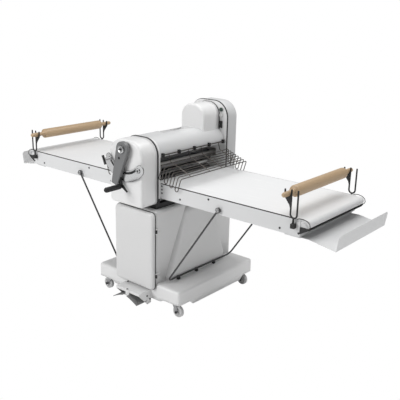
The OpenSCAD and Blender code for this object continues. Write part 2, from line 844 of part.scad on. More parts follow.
// Two long wires joined at both ends below the plane of the guard
module hoop(u, rear_turn) {
    straight = guard_end - wire_bend;
    for (x = [u, u + wire_pitch]) translate([x, -straight, 0]) rotate([-90, 0, 0])
        cylinder(h = 2 * straight, r = wire_r, $fn = 24);
    translate([u, straight, 0]) skirt(rear_turn);
    translate([u, -straight, 0]) mirror([0, 1, 0]) skirt(skirt_lean - guard_slope);
}
module guard() {
    top = cross_r + wire_r - 0.3 - guard_drop;
    knee = 32;
    weld = 0.5;
    inner = guard_reach - (2 * hoop_count - 1) * wire_pitch;
    color(wire_grey) translate([guard_x, 0, guard_z]) {
        rotate([-90, 0, 0]) translate([0, 0, 6 - plate_in]) cylinder(h = 2 * plate_in - 12, r = guard_rod_r, $fn = 24);
        rotate([0, guard_slope, 0]) {
            // The innermost hoop hangs straight at the back to pass the column
            for (i = [0:hoop_count - 1])
                translate([0, 0, -guard_drop])
                    hoop(inner + 2 * i * wire_pitch, i == 0 ? -guard_slope : skirt_lean - guard_slope);
            for (y = [-cross_outer, -cross_inner, cross_inner, cross_outer]) translate([0, y, 0]) {
                rotate([0, 90 + atan2(-top, knee), 0]) cylinder(h = norm([knee, top]), r = cross_r, $fn = 24);
                translate([knee, 0, top]) sphere(r = cross_r + weld, $fn = 24);
                translate([knee, 0, top]) rotate([0, 90, 0])
                    cylinder(h = guard_reach + wire_r - knee, r = cross_r, $fn = 24);
            }
        }
    }
}

// Sheeting rollers
roller_half = half_table - 5;
module upper_roller() {
    color(steel) line() {
        bar_y(0, up_axis, -roller_half, roller_half, roller_r);
        bar_y(0, up_axis, -plate_out, plate_out, roller_shaft_r);
    }
}
module lower_roller() {
    color(steel) line() {
        bar_y(0, low_axis, -roller_half, roller_half, roller_r);
        bar_y(0, low_axis, -rim_out, chain_y + chain_w + 4, roller_shaft_r);
        for (y = [side_chain[0], side_chain[1], chain_y]) bar_y(0, low_axis, y, y + chain_w, sprocket_r);
    }
}
module lower_bearings() {
    color(dark_grey) line() for (s = [-1, 1]) difference() {
        union() {
            bar_y(0, low_axis, s > 0 ? plate_in : -plate_out, s > 0 ? plate_out : -plate_in, bush_r);
            bar_y(0, low_axis, s > 0 ? plate_out : -plate_out - 6, s > 0 ? plate_out + 6 : -plate_out, bush_r + 9);
        }
        bar_y(0, low_axis, -plate_out - 8, plate_out + 8, roller_shaft_r + run_fit);
    }
}
module lower_scrapers() {
    // A blade that bridges the gap between each belt and the lower roller
    tip = [roller_r + 0.6, low_axis + 8];
    foot = hinge_x - drive_r - belt_t - 8;
    color(steel) line() for (s = [-1, 1]) side(s) {
        along_y(-half_table + 6, half_table - 6)
            polygon([tip, tip + [0.6, 3], [foot - 2, low_axis + 12], [foot, low_axis + 9], [foot, low_axis - 16],
                [foot - 6, low_axis - 16], [foot - 6, low_axis + 6]]);
        for (e = [-1, 1]) along_y(e > 0 ? half_table - 6 : -plate_in, e > 0 ? plate_in : 6 - half_table)
            translate([foot - 8, low_axis - 30]) square([8, 34]);
    }
}
module yoke() {
    shaft_gap = 10;
    x_right = lever_x - lift_shaft_r - shaft_gap + 4;
    x_left = lever_x - crank_radius - crank_pin_r - 14;
    slot_z = lever_z + crank_radius * sin(crank_rest);
    slot_half = crank_pin_r + yoke_clear;
    difference() {
        polygon([[x_left, slot_z + 22], [x_right, slot_z + 22], [x_right, lever_z - 45], [block_w / 2, up_axis + 60],
            [block_w / 2, up_axis - block_h / 2], [-block_w / 2, up_axis - block_h / 2], [x_left, up_axis + 60]]);
        slot([lever_x - crank_radius - 3, slot_z], [lever_x - crank_radius + 7, slot_z], slot_half);
        translate([0, up_axis]) circle(r = roller_shaft_r + 4);
    }
}
module roller_carriage() {
    inner = plate_in - 0.6;
    ear = 4;
    bar_x0 = 74;
    blade = up_axis + 22;
    color(dark_grey) line() {
        for (s = [-1, 1]) scale([1, s, 1]) difference() {
            union() {
                along_y(inner - ear, yoke_in) translate([-block_w / 2, up_axis - block_h / 2]) square([block_w, block_h]);
                along_y(yoke_in, yoke_out) yoke();
                along_y(inner - ear, inner) translate([-bar_x0 - 8, up_axis + 2]) square([2 * bar_x0 + 16, 52]);
            }
            bar_y(0, up_axis, inner - ear - 1, yoke_in + 1, roller_shaft_r + run_fit);
            bar_y(0, up_axis, inner - ear - 1, inner + 1, roller_shaft_r + 2);
        }
        for (s = [-1, 1]) side(s) along_y(ear - inner, inner - ear) {
            translate([bar_x0 - 8, up_axis + 30]) square([14, 14]);
            polygon([[sqrt(roller_r * roller_r - 22 * 22) + 0.8, blade], [bar_x0 - 8, blade + 12], [bar_x0 - 8, blade + 16],
                [sqrt(roller_r * roller_r - 22 * 22) + 1.4, blade + 3]]);
        }
    }
}

// Lever, its shaft and the sector
module lift_shaft() {
    pin = [lever_x - crank_radius * cos(crank_rest), lever_z + crank_radius * sin(crank_rest)];
    color(steel) line() {
        bar_y(lever_x, lever_z, -arm_face, crank_out, lift_shaft_r);
        for (s = [-1, 1]) scale([1, s, 1]) {
            along_y(crank_in, crank_out) slot([lever_x, lever_z], pin, 14);
            bar_y(pin[0], pin[1], yoke_in - 3, crank_in + 1, crank_pin_r);
        }
        bar_y(lever_x, lever_z, -arm_face - 5, -arm_face, 22);
        bar_y(lever_x, lever_z, -arm_face - 9, -arm_face - 4, 9);
    }
}
arm_low = [lever_x - arm_len * sin(arm_angle), lever_z - arm_len * cos(arm_angle)];
module arm_outline() {
    a = [lever_x, lever_z];
    foot_r = 27;
    difference() {
        polygon(loop_path(a, arm_head_r, arm_low, foot_r, 48));
        translate(arm_low) rotate(-arm_angle) translate([-60, -60]) square([120, 48]);
    }
}
bar_back = arm_back + 5;
bar_front = bar_back + 8;
bar_r = 12;
bend_swell = 1;
grip_side = 47.4;
grip_drop = 19.8;
grip_at = arm_low + [grip_side, -grip_drop];
module bar_outline(grow) {
    neck = [arm_low[0] + 24, arm_low[1] + 70];
    slot([lever_x - 26, lever_z - 110], neck, bar_r + grow);
    slot(neck, grip_at, bar_r + grow);
    translate(neck) circle(r = bar_r + bend_swell + grow);
}
module lever_arm() {
    t = 4;
    color(dark_grey) line() difference() {
        union() {
            along_y(-arm_face, -arm_back) arm_outline();
            bar_y(lever_x, lever_z, -arm_back, -head_face - 1.5, 34);
        }
        along_y(-arm_face + t, -arm_back + 1) difference() {
            polygon(loop_path([lever_x, lever_z], arm_head_r - t, arm_low, 27 - t, 48));
            translate(arm_low) rotate(-arm_angle) translate([-60, -60]) square([120, 52]);
            translate([lever_x, lever_z]) circle(r = 34);
        }
        along_y(-bar_front - slide_fit, slide_fit - bar_back) bar_outline(slide_fit);
        bar_y(lever_x, lever_z, -arm_face - 1, -head_face, lift_shaft_r);
        bar_y(lever_x - 65 * sin(arm_angle + 5), lever_z - 65 * cos(arm_angle + 5), -arm_face - 1, t + 1 - arm_face, 9);
    }
}
module lever_grip() {
    // Bar inside the arm that carries the grip and ends in the pointer
    color(black) line() difference() {
        union() {
            along_y(-bar_front, -bar_back) {
                bar_outline(0);
                polygon([grip_at + [-9, 2], grip_at + [12, 14], grip_at + [56, -28], grip_at + [50, -32]]);
            }
            bar_y(grip_at[0], grip_at[1], -arm_face + 4, 1 - bar_front, 9);
            translate([grip_at[0], 4 - arm_face, grip_at[1]]) rotate([90, 0, 0]) rotate_extrude() polygon([[0, 0],
                [grip_r - 3, 0], [grip_r, 4], [grip_r, grip_len - 8], [grip_r - 3, grip_len - 1], [grip_r - 8, grip_len + 4],
                [0, grip_len + 4]]);
        }
        along_y(-bar_front - 1, 1 - bar_back) translate([lever_x, lever_z]) circle(r = 60);
    }
}
module thickness_sector() {
    mid = sector_in + slot_band / 2;
    color(steel) line() {
        along_y(-sector_front, -sector_back) translate([lever_x, lever_z]) difference() {
            union() {
                arc_band(sector_in, sector_out, -154, -42);
                rotate(-42) translate([(sector_in + sector_out) / 2, 0]) circle(r = (sector_out - sector_in - 1) / 2);
                rotate(-154) translate([sector_in + 23, 0]) circle(r = 22);
            }
            arc_band(mid - sector_slot / 2, mid + sector_slot / 2, -150, -50);
            for (a = [-150, -50]) rotate(a) translate([mid, 0]) circle(r = sector_slot / 2 + 0.5);
        }
        for (a = [-140, -98, -56]) translate([lever_x + 192 * cos(a), 0, lever_z + 192 * sin(a)])
            bar_y(0, 0, -sector_back, -head_face, 8);
    }
}
stop_angles = [-147, -46];
module sector_stops() {
    mid = sector_in + slot_band / 2;
    at = [lever_x + mid * cos(stop_angles[0]), lever_z + mid * sin(stop_angles[0])];
    screw = sector_in + slot_band;
    end = [lever_x + screw * cos(stop_angles[1]), lever_z + screw * sin(stop_angles[1])];
    color(black) line() {
        bar_y(at[0], at[1], -sector_front - 48, -sector_front, 7);
        bar_y(at[0], at[1], -sector_front - 8, -sector_front, 11);
        along_y(-sector_front - 60, -sector_front - 46) slot(at + [-12, 26], at + [12, -26], 8);
        bar_y(end[0], end[1], -sector_front - 6, -sector_front, 17);
    }
}

// Controls on the inner face of the column
module round_button(z) {
    bar_y(control_x, z, plate_in - 10, plate_in - 4, button_r);
    bar_y(control_x, z, plate_in - 5, plate_out + 4, button_r - 4);
    bar_y(control_x, z, plate_out + 4, plate_out + 6, button_r - 2);
}
module stop_button() { color(pale) line() round_button(stop_z); }
module start_button() { color(black) line() round_button(start_z); }
module rocker_switch() {
    color(black) line()
        along_x(control_x - rocker_w / 2, control_x + rocker_w / 2)
            polygon([[plate_in - 4, rocker_z], [plate_in - 7, rocker_z + rocker_h / 2], [plate_out - 1, rocker_z + rocker_h / 2],
                [plate_out + 6, rocker_z + 8], [plate_out + 6, rocker_z - 8], [plate_out - 1, rocker_z - rocker_h / 2],
                [plate_in - 7, rocker_z - rocker_h / 2]]);
}

// Pedal
pedal_z = pedal_top - 34;
pedal_y = -chassis_front - pedal_out / 2 - 12;
pedal_shaft_r = 7;
wing_l = 92;
wing_w = 78;
module pedal_bracket() {
    t = 4;
    x0 = pedal_x - pedal_l / 2;
    x1 = pedal_x + pedal_l / 2;
    y0 = -chassis_front - pedal_out;
    color(white) line() difference() {
        union() {
            block([x0, y0, pedal_top - t], [x1, -chassis_front, pedal_top]);
            block([x0, -chassis_front - t, skirt_low + 30], [x1, -chassis_front, pedal_top]);
            block([x0, y0, pedal_top - 18], [x1, y0 + t, pedal_top]);
            for (x = [x0, x1 - t]) along_x(x, x + t) polygon([[y0, pedal_top], [y0, pedal_top - 18],
                [-chassis_front - 34, skirt_low - 26], [-chassis_front, skirt_low - 20], [-chassis_front, pedal_top]]);
            for (y = [pedal_y - wing_w / 2 - 8, pedal_y + wing_w / 2 + 4])
                along_y(y, y + t) translate([pedal_x, 0]) {
                    translate([-16, pedal_z]) square([32, pedal_top - pedal_z]);
                    translate([0, pedal_z]) circle(r = 16);
                }
        }
        bar_y(pedal_x, pedal_z, pedal_y - wing_w, pedal_y + wing_w, pedal_shaft_r + run_fit);
    }
}
module reversing_pedal() {
    rib = 3;
    color(black) line() {
        bar_y(pedal_x, pedal_z, pedal_y - wing_w / 2 - 10, pedal_y + wing_w / 2 + 10, pedal_shaft_r);
        bar_y(pedal_x, pedal_z, pedal_y - wing_w / 2, pedal_y + wing_w / 2, 13);
        for (s = [-1, 1]) translate([pedal_x, 0, pedal_z]) side(s) rotate([0, pedal_slope, 0]) {
            block([8, pedal_y - wing_w / 2, -4], [wing_l, pedal_y + wing_w / 2, 3]);
            for (i = [0:8]) block([16 + i * 8.5, pedal_y - wing_w / 2 + 2, 2], [16 + i * 8.5 + rib, pedal_y + wing_w / 2 - 2, 6]);
        }
    }
}

// Struts
module strut_rests() {
    // Cradles that the bar of each strut drops into
    away = atan2(strut_dz, strut_dx) - 4;
    x0 = swell_w / 2;
    color(black) line() for (s = [-1, 1]) side(s) for (y = [-228, -40, 150])
        along_y(y - 9, y + 9) difference() {
            translate([x0, chassis_top]) square([rest_x + strut_r + 3 - x0, rest_z + 4 - chassis_top]);
            translate([rest_x, rest_z]) circle(r = strut_r + roll_gap);
            translate([rest_x, rest_z]) rotate(away) translate([0, -strut_r - roll_gap]) square([40, 2 * strut_r + 2 * roll_gap]);
            translate([rest_x, rest_z]) rotate(away - 90) translate([0, 0]) square([40, 40]);
        }
}
module strut() {
    eye_r = 17;
    straight = strut_len - strut_bend;
    color(dark_grey) translate([strut_x, 0, strut_z]) rotate([0, strut_angle, 0]) {
        for (s = [-1, 1]) scale([1, s, 1]) {
            difference() {
                union() {
                    bar_y(0, 0, strut_y - strut_eye_t / 2, strut_y + strut_eye_t / 2, eye_r);
                    translate([0, strut_y, -straight]) cylinder(h = straight - 12, r = strut_r);
                }
                bar_y(0, 0, strut_y - 20, strut_y + 20, stud_r + run_fit);
            }
            translate([0, strut_y - strut_bend, -straight]) rotate([90, 0, 90]) rotate([0, 0, -90]) elbow(strut_r, strut_bend);
        }
        bar_y(0, -strut_len, strut_bend - strut_y, strut_y - strut_bend, strut_r);
    }
}

// Tables
runner_y = tray_w / 2 + 4;
runner_x0 = panel_end - 110;
runner_x1 = panel_end - 8;
tray_z = panel_low - 9;
module panel_outline() {
    round_in = 31;
    difference() {
        union() {
            translate([hinge_x, panel_low]) square([panel_end - hinge_x, panel_h]);
            translate([hinge_x, hinge_z]) circle(r = round_in);
        }
        translate([hinge_x - 60, panel_low - 1]) square([60 + 20, hinge_z - round_in - panel_low + 1]);
    }
}
module cheek_outline() {
    translate([panel_end - 60, nose_z - 26]) square([60 + nose_out, 26 + belt_top - nose_z - belt_t]);
    translate([nose_x, nose_z]) circle(r = belt_top - nose_z - belt_t + 1);
}
module table_frame() {
    tube = panel_low + 4;
    first = hinge_x + 130;
    last = panel_end - 130;
    color(white) {
        for (s = [-1, 1]) scale([1, s, 1]) {
            difference() {
                along_y(panel_inner, half_table) panel_outline();
                bar_y(hinge_x, hinge_z, panel_inner - 1, half_table + 1, drive_shaft_r + run_fit);
            }
            difference() {
                along_y(panel_inner - cheek_t, panel_inner) cheek_outline();
                bar_y(nose_x, nose_z, panel_inner - cheek_t - 1, panel_inner + 1, nose_shaft_r + run_fit);
            }
            bar_y(strut_x, strut_z, half_table, strut_y - strut_eye_t / 2 - slide_fit, 15);
            bar_y(strut_x, strut_z, half_table, strut_y + 9, stud_r);
            bar_y(strut_x, strut_z, strut_y + 7, strut_y + 11, 13);
            block([runner_x0, runner_y - 1, tray_z - 4], [runner_x1, runner_y + 2, tube]);
            block([runner_x0, runner_y - 14, tray_z - 4], [runner_x1, runner_y, tray_z - 2]);
        }
        for (i = [0:cross_count - 1]) {
            x = first + (last - first) * i / (cross_count - 1);
            block([x, -panel_inner, tube], [x + cross_tube, panel_inner, tube + cross_tube]);
        }
        block([hinge_x + drive_r + 8, -panel_inner, belt_top - belt_t - bed_t], [nose_x - nose_r - 6, panel_inner, belt_top - belt_t]);
    }
}
module belt() {
    color(white) along_y(-belt_half, belt_half)
        loop_ring([hinge_x, hinge_z], drive_r + belt_inner, [nose_x, nose_z], nose_r + belt_inner, belt_t);
}
module drive_roller(s) {
    y = side_chain[s > 0 ? 0 : 1];
    color(steel) {
        bar_y(hinge_x, hinge_z, -belt_half, belt_half, drive_r);
        bar_y(hinge_x, hinge_z, -rim_out + 2, y + chain_w + 3, drive_shaft_r);
        bar_y(hinge_x, hinge_z, y, y + chain_w, sprocket_r);
    }
}
module nose_roller() {
    color(steel) {
        bar_y(nose_x, nose_z, -belt_half, belt_half, nose_r);
        bar_y(nose_x, nose_z, -panel_inner + 0.5, panel_inner - 0.5, nose_shaft_r);
    }
}
module fork() {
    low = belt_top + 25;
    half = tine_gap / 2;
    top = belt_top + tine_h;
    clamp_y = half_table;
    // Tines and their U bend
    for (s = [-1, 1]) translate([fork_x + s * half, fork_y, low]) {
        cylinder(h = top - low, r = tine_r, $fn = 24);
        translate([0, 0, top - low]) sphere(r = tine_r, $fn = 24);
    }
    translate([fork_x, fork_y, low]) rotate([90, 180, 0]) rotate_extrude(angle = 180, $fn = 48)
        translate([half, 0]) circle(r = tine_r + bend_grow, $fn = 24);
    // Stem and clamp on the side panel
    translate([fork_x, fork_y, belt_top - 34]) cylinder(h = low - half - belt_top + 34, r = tine_r + 1, $fn = 24);
    block([fork_x - 12, clamp_y, belt_top - 54], [fork_x + 12, fork_y + 11, belt_top - 28]);
    // Gusset with the notch that holds the pin
    peg = pin_x - handle_r - tine_r - 1;
    difference() {
        along_y(fork_y - 3, fork_y + 3) difference() {
            polygon([[peg - 5, pin_z], [fork_x - half, pin_z], [fork_x - half, pin_z - 92], [fork_x - half - 10, pin_z - 62],
                [peg - 5, pin_z - 16]]);
            translate([pin_x, pin_z]) circle(r = handle_r + roll_gap);
            translate([pin_x - handle_r - roll_gap, pin_z]) square([2 * (handle_r + roll_gap), 40]);
        }
    }
    translate([peg, fork_y, pin_z - 10]) cylinder(h = 30, r = tine_r, $fn = 24);
    translate([peg, fork_y, pin_z + 20]) sphere(r = tine_r, $fn = 24);
}
module forks() { color(black) for (s = [-1, 1]) scale([1, s, 1]) fork(); }
module rolling_pin() {
    b = pin_len / 2;
    e = pin_total / 2;
    profile = [[0, -e], [handle_r - 5, -e], [handle_r - 1, 4 - e], [handle_r, 12 - e], [handle_r, -b - 8],
        [handle_r + 4, -b - 3], [pin_r - 7, -b], [pin_r - 2, 4 - b], [pin_r, 12 - b], [pin_r, b - 12],
        [pin_r - 2, b - 4], [pin_r - 7, b], [handle_r + 4, b + 3], [handle_r, b + 8], [handle_r, e - 12],
        [handle_r - 1, e - 4], [handle_r - 5, e], [0, e]];
    color(wood) translate([pin_x, 0, pin_z]) rotate([90, 0, 0]) rotate_extrude() polygon(profile);
}
module tray(drawn) {
    t = tray_t;
    c = cos(tray_slope);
    s = sin(tray_slope);
    x0 = runner_x0 + 12;
    x1 = panel_end + 6;
    p = [x1, tray_z];
    q = p + tray_floor * [c, -s];
    l = q + tray_lip * [s, c];
    z = roll_gap;
    color(white) translate([drawn, 0, 0]) {
        along_y(-tray_w / 2, tray_w / 2) translate([0, z]) {
            polygon([[x0, tray_z], p, q, q + t * [c, -s], q - t * [s, c] + t * [c, -s], p - [0, t], [x0, tray_z - t]]);
            translate([x0, tray_z]) square([t, panel_low - tray_z - 2]);
        }
        // Lip with rounded upper corners
        translate([q[0], 0, q[1] + z]) rotate([0, tray_slope, 0]) along_x(0, t) {
            translate([-tray_w / 2, -t]) square([tray_w, tray_lip - 24]);
            translate([24 - tray_w / 2, 0]) square([tray_w - 48, tray_lip]);
            for (m = [-1, 1]) translate([m * (tray_w / 2 - 24), tray_lip - 24]) circle(r = 24);
        }
    }
}

chassis_cover();
chassis_frame();
castor_fork(0);  // castor_fork_1
castor_fork(1);  // castor_fork_2
castor_fork(2);  // castor_fork_3
castor_fork(3);  // castor_fork_4
castor_wheel(0);  // castor_wheel_1
castor_wheel(1);  // castor_wheel_2
castor_wheel(2);  // castor_wheel_3
castor_wheel(3);  // castor_wheel_4
cabinet_shell();
cabinet_door();
door_hinges();
drive_motor();
drive_chains();
base_frame();
front_side_plate();
rear_side_plate();
front_head_cover();
front_head_seal();
column_cover();
column_seal();
control_box();
roller_cover();
flour_tray();
guard_hinge_blocks();
line() guard();  // right_guard
line() side(-1) guard();  // left_guard
upper_roller();
lower_roller();
lower_bearings();
roller_carriage();
lower_scrapers();
lift_shaft();
lever_arm();
lever_grip();
thickness_sector();
sector_stops();
start_button();
stop_button();
rocker_switch();
pedal_bracket();
reversing_pedal();
strut_rests();
line() table_frame();  // right_table_frame
line() belt();  // right_belt
line() drive_roller(1);  // right_drive_roller
line() nose_roller();  // right_nose_roller
line() forks();  // right_forks
line() rolling_pin();  // right_rolling_pin
line() tray(tray_drawn);  // right_tray
line() strut();  // right_strut
line() side(-1) table_frame();  // left_table_frame
line() side(-1) belt();  // left_belt
line() side(-1) drive_roller(-1);  // left_drive_roller
line() side(-1) nose_roller();  // left_nose_roller
line() side(-1) forks();  // left_forks
line() side(-1) rolling_pin();  // left_rolling_pin
line() side(-1) tray(0);  // left_tray
line() side(-1) strut();  // left_strut
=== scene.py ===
import json
import math

import bpy
import numpy as np
from mathutils import Matrix, Vector


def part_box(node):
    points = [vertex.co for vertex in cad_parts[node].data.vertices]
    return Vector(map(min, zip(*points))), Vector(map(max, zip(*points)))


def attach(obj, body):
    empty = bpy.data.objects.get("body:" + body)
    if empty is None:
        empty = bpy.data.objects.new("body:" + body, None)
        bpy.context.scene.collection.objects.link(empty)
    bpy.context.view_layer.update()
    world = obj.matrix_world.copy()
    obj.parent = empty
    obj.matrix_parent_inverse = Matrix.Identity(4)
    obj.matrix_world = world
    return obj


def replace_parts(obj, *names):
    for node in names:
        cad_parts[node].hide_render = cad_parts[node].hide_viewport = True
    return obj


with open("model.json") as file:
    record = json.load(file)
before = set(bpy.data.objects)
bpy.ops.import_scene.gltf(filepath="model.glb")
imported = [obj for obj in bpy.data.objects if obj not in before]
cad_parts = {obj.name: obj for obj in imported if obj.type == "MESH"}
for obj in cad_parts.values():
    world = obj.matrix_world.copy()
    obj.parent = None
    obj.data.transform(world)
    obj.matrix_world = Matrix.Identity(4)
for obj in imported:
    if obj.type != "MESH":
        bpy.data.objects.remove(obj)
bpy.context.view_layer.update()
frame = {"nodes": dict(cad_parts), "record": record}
nodes = frame["nodes"]
record = frame["record"]
print("frame loaded:", len(nodes), "parts")

# Places below are measured from the roller axis along the belts and from the belt middle across them
middleX = 0.5 * (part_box("lower_roller")[0][0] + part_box("lower_roller")[1][0])
middleY = 0.5 * (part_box("right_belt")[0][1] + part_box("right_belt")[1][1])
middle = np.array([middleX, middleY, 0])


class Wire:
    # A node socket, so that shader maths reads as plain maths: 1 - mask adds a Math node
    def __init__(self, tree, socket):
        self.tree = tree
        self.socket = socket

    def math(self, operation, first, second, clamp=False):
        node = self.tree.nodes.new("ShaderNodeMath")
        node.operation = operation
        node.use_clamp = clamp
        for socket, value in zip(node.inputs, (first, second)):
            if isinstance(value, Wire):
                self.tree.links.new(value.socket, socket)
            else:
                socket.default_value = value
        return Wire(self.tree, node.outputs[0])

    def __add__(self, other):
        return self.math("ADD", self, other)

    def __radd__(self, other):
        return self.math("ADD", other, self)

    def __sub__(self, other):
        return self.math("SUBTRACT", self, other)

    def __rsub__(self, other):
        return self.math("SUBTRACT", other, self)

    def __mul__(self, other):
        return self.math("MULTIPLY", self, other)

    def __rmul__(self, other):
        return self.math("MULTIPLY", other, self)

    def clamped(self):
        return self.math("ADD", self, 0.0, clamp=True)


class Finish:
    # One material: a Principled shader and what the methods add to it
    def __init__(self, name, color, roughness=0.5, metallic=0.0, coat=0.0, coatRough=0.1):
        self.material = bpy.data.materials.new(name)
        self.material.use_nodes = True
        self.tree = self.material.node_tree
        self.shader = self.tree.nodes["Principled BSDF"]
        self.roughness = roughness
        self.base = (*color, 1)
        constants = {"Base Color": self.base, "Roughness": roughness, "Metallic": metallic, "Coat Weight": coat,
                     "Coat Roughness": coatRough}
        for socket, value in constants.items():
            self.shader.inputs[socket].default_value = value

    def node(self, kind, output=0, settings=(), **inputs):
        # Any node: settings are its properties, inputs are sockets by name with _ for a blank, or i and a number
        made = self.tree.nodes.new("ShaderNode" + kind)
        for key, value in dict(settings).items():
            setattr(made, key, value)
        for key, value in inputs.items():
            socket = made.inputs[int(key[1:])] if key[1:].isdigit() else made.inputs[key.replace("_", " ")]
            if isinstance(value, Wire):
                self.tree.links.new(value.socket, socket)
            else:
                socket.default_value = value
        return Wire(self.tree, made.outputs[output])

    def coords(self, stretch=(1, 1, 1)):
        return self.node("Mapping", Vector=self.node("TexCoord", output=3), Scale=stretch)  # object coordinates, metres

    def noise(self, scale, detail=3.0, stretch=(1, 1, 1)):
        return self.node("TexNoise", Vector=self.coords(stretch), Scale=scale, Detail=detail)

    def steps(self, value, low, high):
        return self.node("MapRange", Value=value, From_Min=low, From_Max=high)

    def feed(self, socket, wire):
        self.tree.links.new(wire.socket, self.shader.inputs[socket])

    def tint(self, mask, other):
        # Blends the colour so far towards another one where the mask is high
        self.base = self.node("Mix", output=2, settings={"data_type": "RGBA"}, i0=mask, i6=self.base, i7=(*other, 1))
        self.feed("Base Color", self.base)

    def roughen(self, mask, amount):
        self.feed("Roughness", (mask - 0.5) * (2 * amount) + self.roughness)

    def rounded(self, edge):
        return self.node("Bevel", settings={"samples": 4}, Radius=edge)

    def edgeWearAndShade(self, edge, other, share):
        # Edges are where the rounded normal leaves the true one: 1 - n . m, broken up by a noise. A light tint there is
        # worn paint; the near black tint that metals ask for is painted shade along the edges
        bent = self.node("VectorMath", output=1, settings={"operation": "DOT_PRODUCT"}, i0=self.rounded(edge),
                         i1=self.node("NewGeometry", output=1))
        self.tint(((1 - bent) * 9 * self.noise(120, 3) * share).clamped(), other)

    def bump(self, height, distance, strength=0.5, edge=0.0):
        sockets = dict(Height=height, Distance=distance, Strength=strength)
        if edge:
            sockets["Normal"] = self.rounded(edge)
        self.feed("Normal", self.node("Bump", **sockets))


def enamel(name, color, roughness, peel=0.00004, coat=0.25, edge=0.0015, dust=0.04, edgeWearAndShade=0.0):
    # Powder coat: fine orange peel, a little uneven gloss, a breath of flour and, where asked, rubbed edges
    made = Finish(name, color, roughness, coat=coat, coatRough=0.2)
    made.roughen(made.noise(6, 4), 0.05)
    made.tint(made.noise(2.2, 5) * dust, (0.93, 0.93, 0.92))
    if edgeWearAndShade:
        made.edgeWearAndShade(0.002, (0.45, 0.45, 0.46), edgeWearAndShade)
    made.bump(made.noise(900, 1), peel, edge=edge)
    return made


def metal(name, color, roughness, grain, grainSize=90, edge=0.0008, dark=0.0):
    # Bare steel: a fine grain drawn out along one axis, dull clouds and, where asked, painted shade that darkens its
    # edges over some width
    made = Finish(name, color, roughness, metallic=1.0)
    streak = made.noise(grainSize, 3, grain)
    made.roughen(streak, 0.08)
    made.tint(made.noise(7, 4) * 0.35, tuple(0.72 * c for c in color))
    if dark:
        # painted shade: the edges go near black, as steel edges look in shade
        made.edgeWearAndShade(dark, (0.02, 0.02, 0.02), 3.0)
    made.bump(streak, 0.00003, 0.35, edge)
    return made


def plastic(name, color, roughness, grainDepth=0.00008):
    made = Finish(name, color, roughness)
    made.roughen(made.noise(14, 3), 0.06)
    made.tint(made.noise(60, 3) * 0.3, tuple(min(1, 1.6 * c + 0.01) for c in color))
    made.bump(made.noise(1400, 2), grainDepth, 0.4, 0.001)
    return made


def rubber(name, color, roughness=0.75):
    made = Finish(name, color, roughness)
    made.roughen(made.noise(40, 3), 0.08)
    made.tint(made.noise(30, 3) * 0.25, tuple(min(1, 1.3 * c + 0.05) for c in color))
    made.bump(made.noise(800, 2), 0.0001, 0.4, 0.001)
    return made


def beech(name, color):
    # Turned beech: soft grain drawn out along the barrel, short dark flecks and faint turning rings
    made = Finish(name, color, 0.42, coat=0.12, coatRough=0.35)
    grain = made.noise(34, 5, (1, 0.05, 1))
    fleck = made.steps(made.noise(230, 2, (1, 0.14, 1)), 0.6, 0.72)
    made.tint((grain * 0.55 + fleck * 0.35).clamped(), tuple(c * s for c, s in zip(color, (0.7, 0.6, 0.48))))
    made.tint(made.noise(3, 2) * 0.18, tuple(c * s for c, s in zip(color, (0.9, 0.8, 0.7))))
    made.roughen(grain, 0.08)
    made.bump(grain + made.noise(40, 1, (0.2, 14, 0.2)) * 0.4, 0.00012, 0.4)
    return made


def beltCloth(name, color):
    # Coated belt: two crossed waves make the weave that shows through, with faint flour marks along the run
    made = Finish(name, color, 0.62)
    weave = [made.node("TexWave", settings={"bands_direction": way}, Vector=made.coords(), Scale=260, Distortion=0.3)
             for way in "XY"]
    made.tint(made.noise(5, 4, (0.4, 2.2, 1)) * 0.14, (0.70, 0.70, 0.69))
    made.tint(made.steps(made.noise(26, 5, (0.25, 1.4, 1)), 0.56, 0.75) * 0.25, (0.9, 0.9, 0.89))
    made.bump(weave[0] * weave[1], 0.00006)
    made.roughen(made.noise(9, 3), 0.06)
    return made


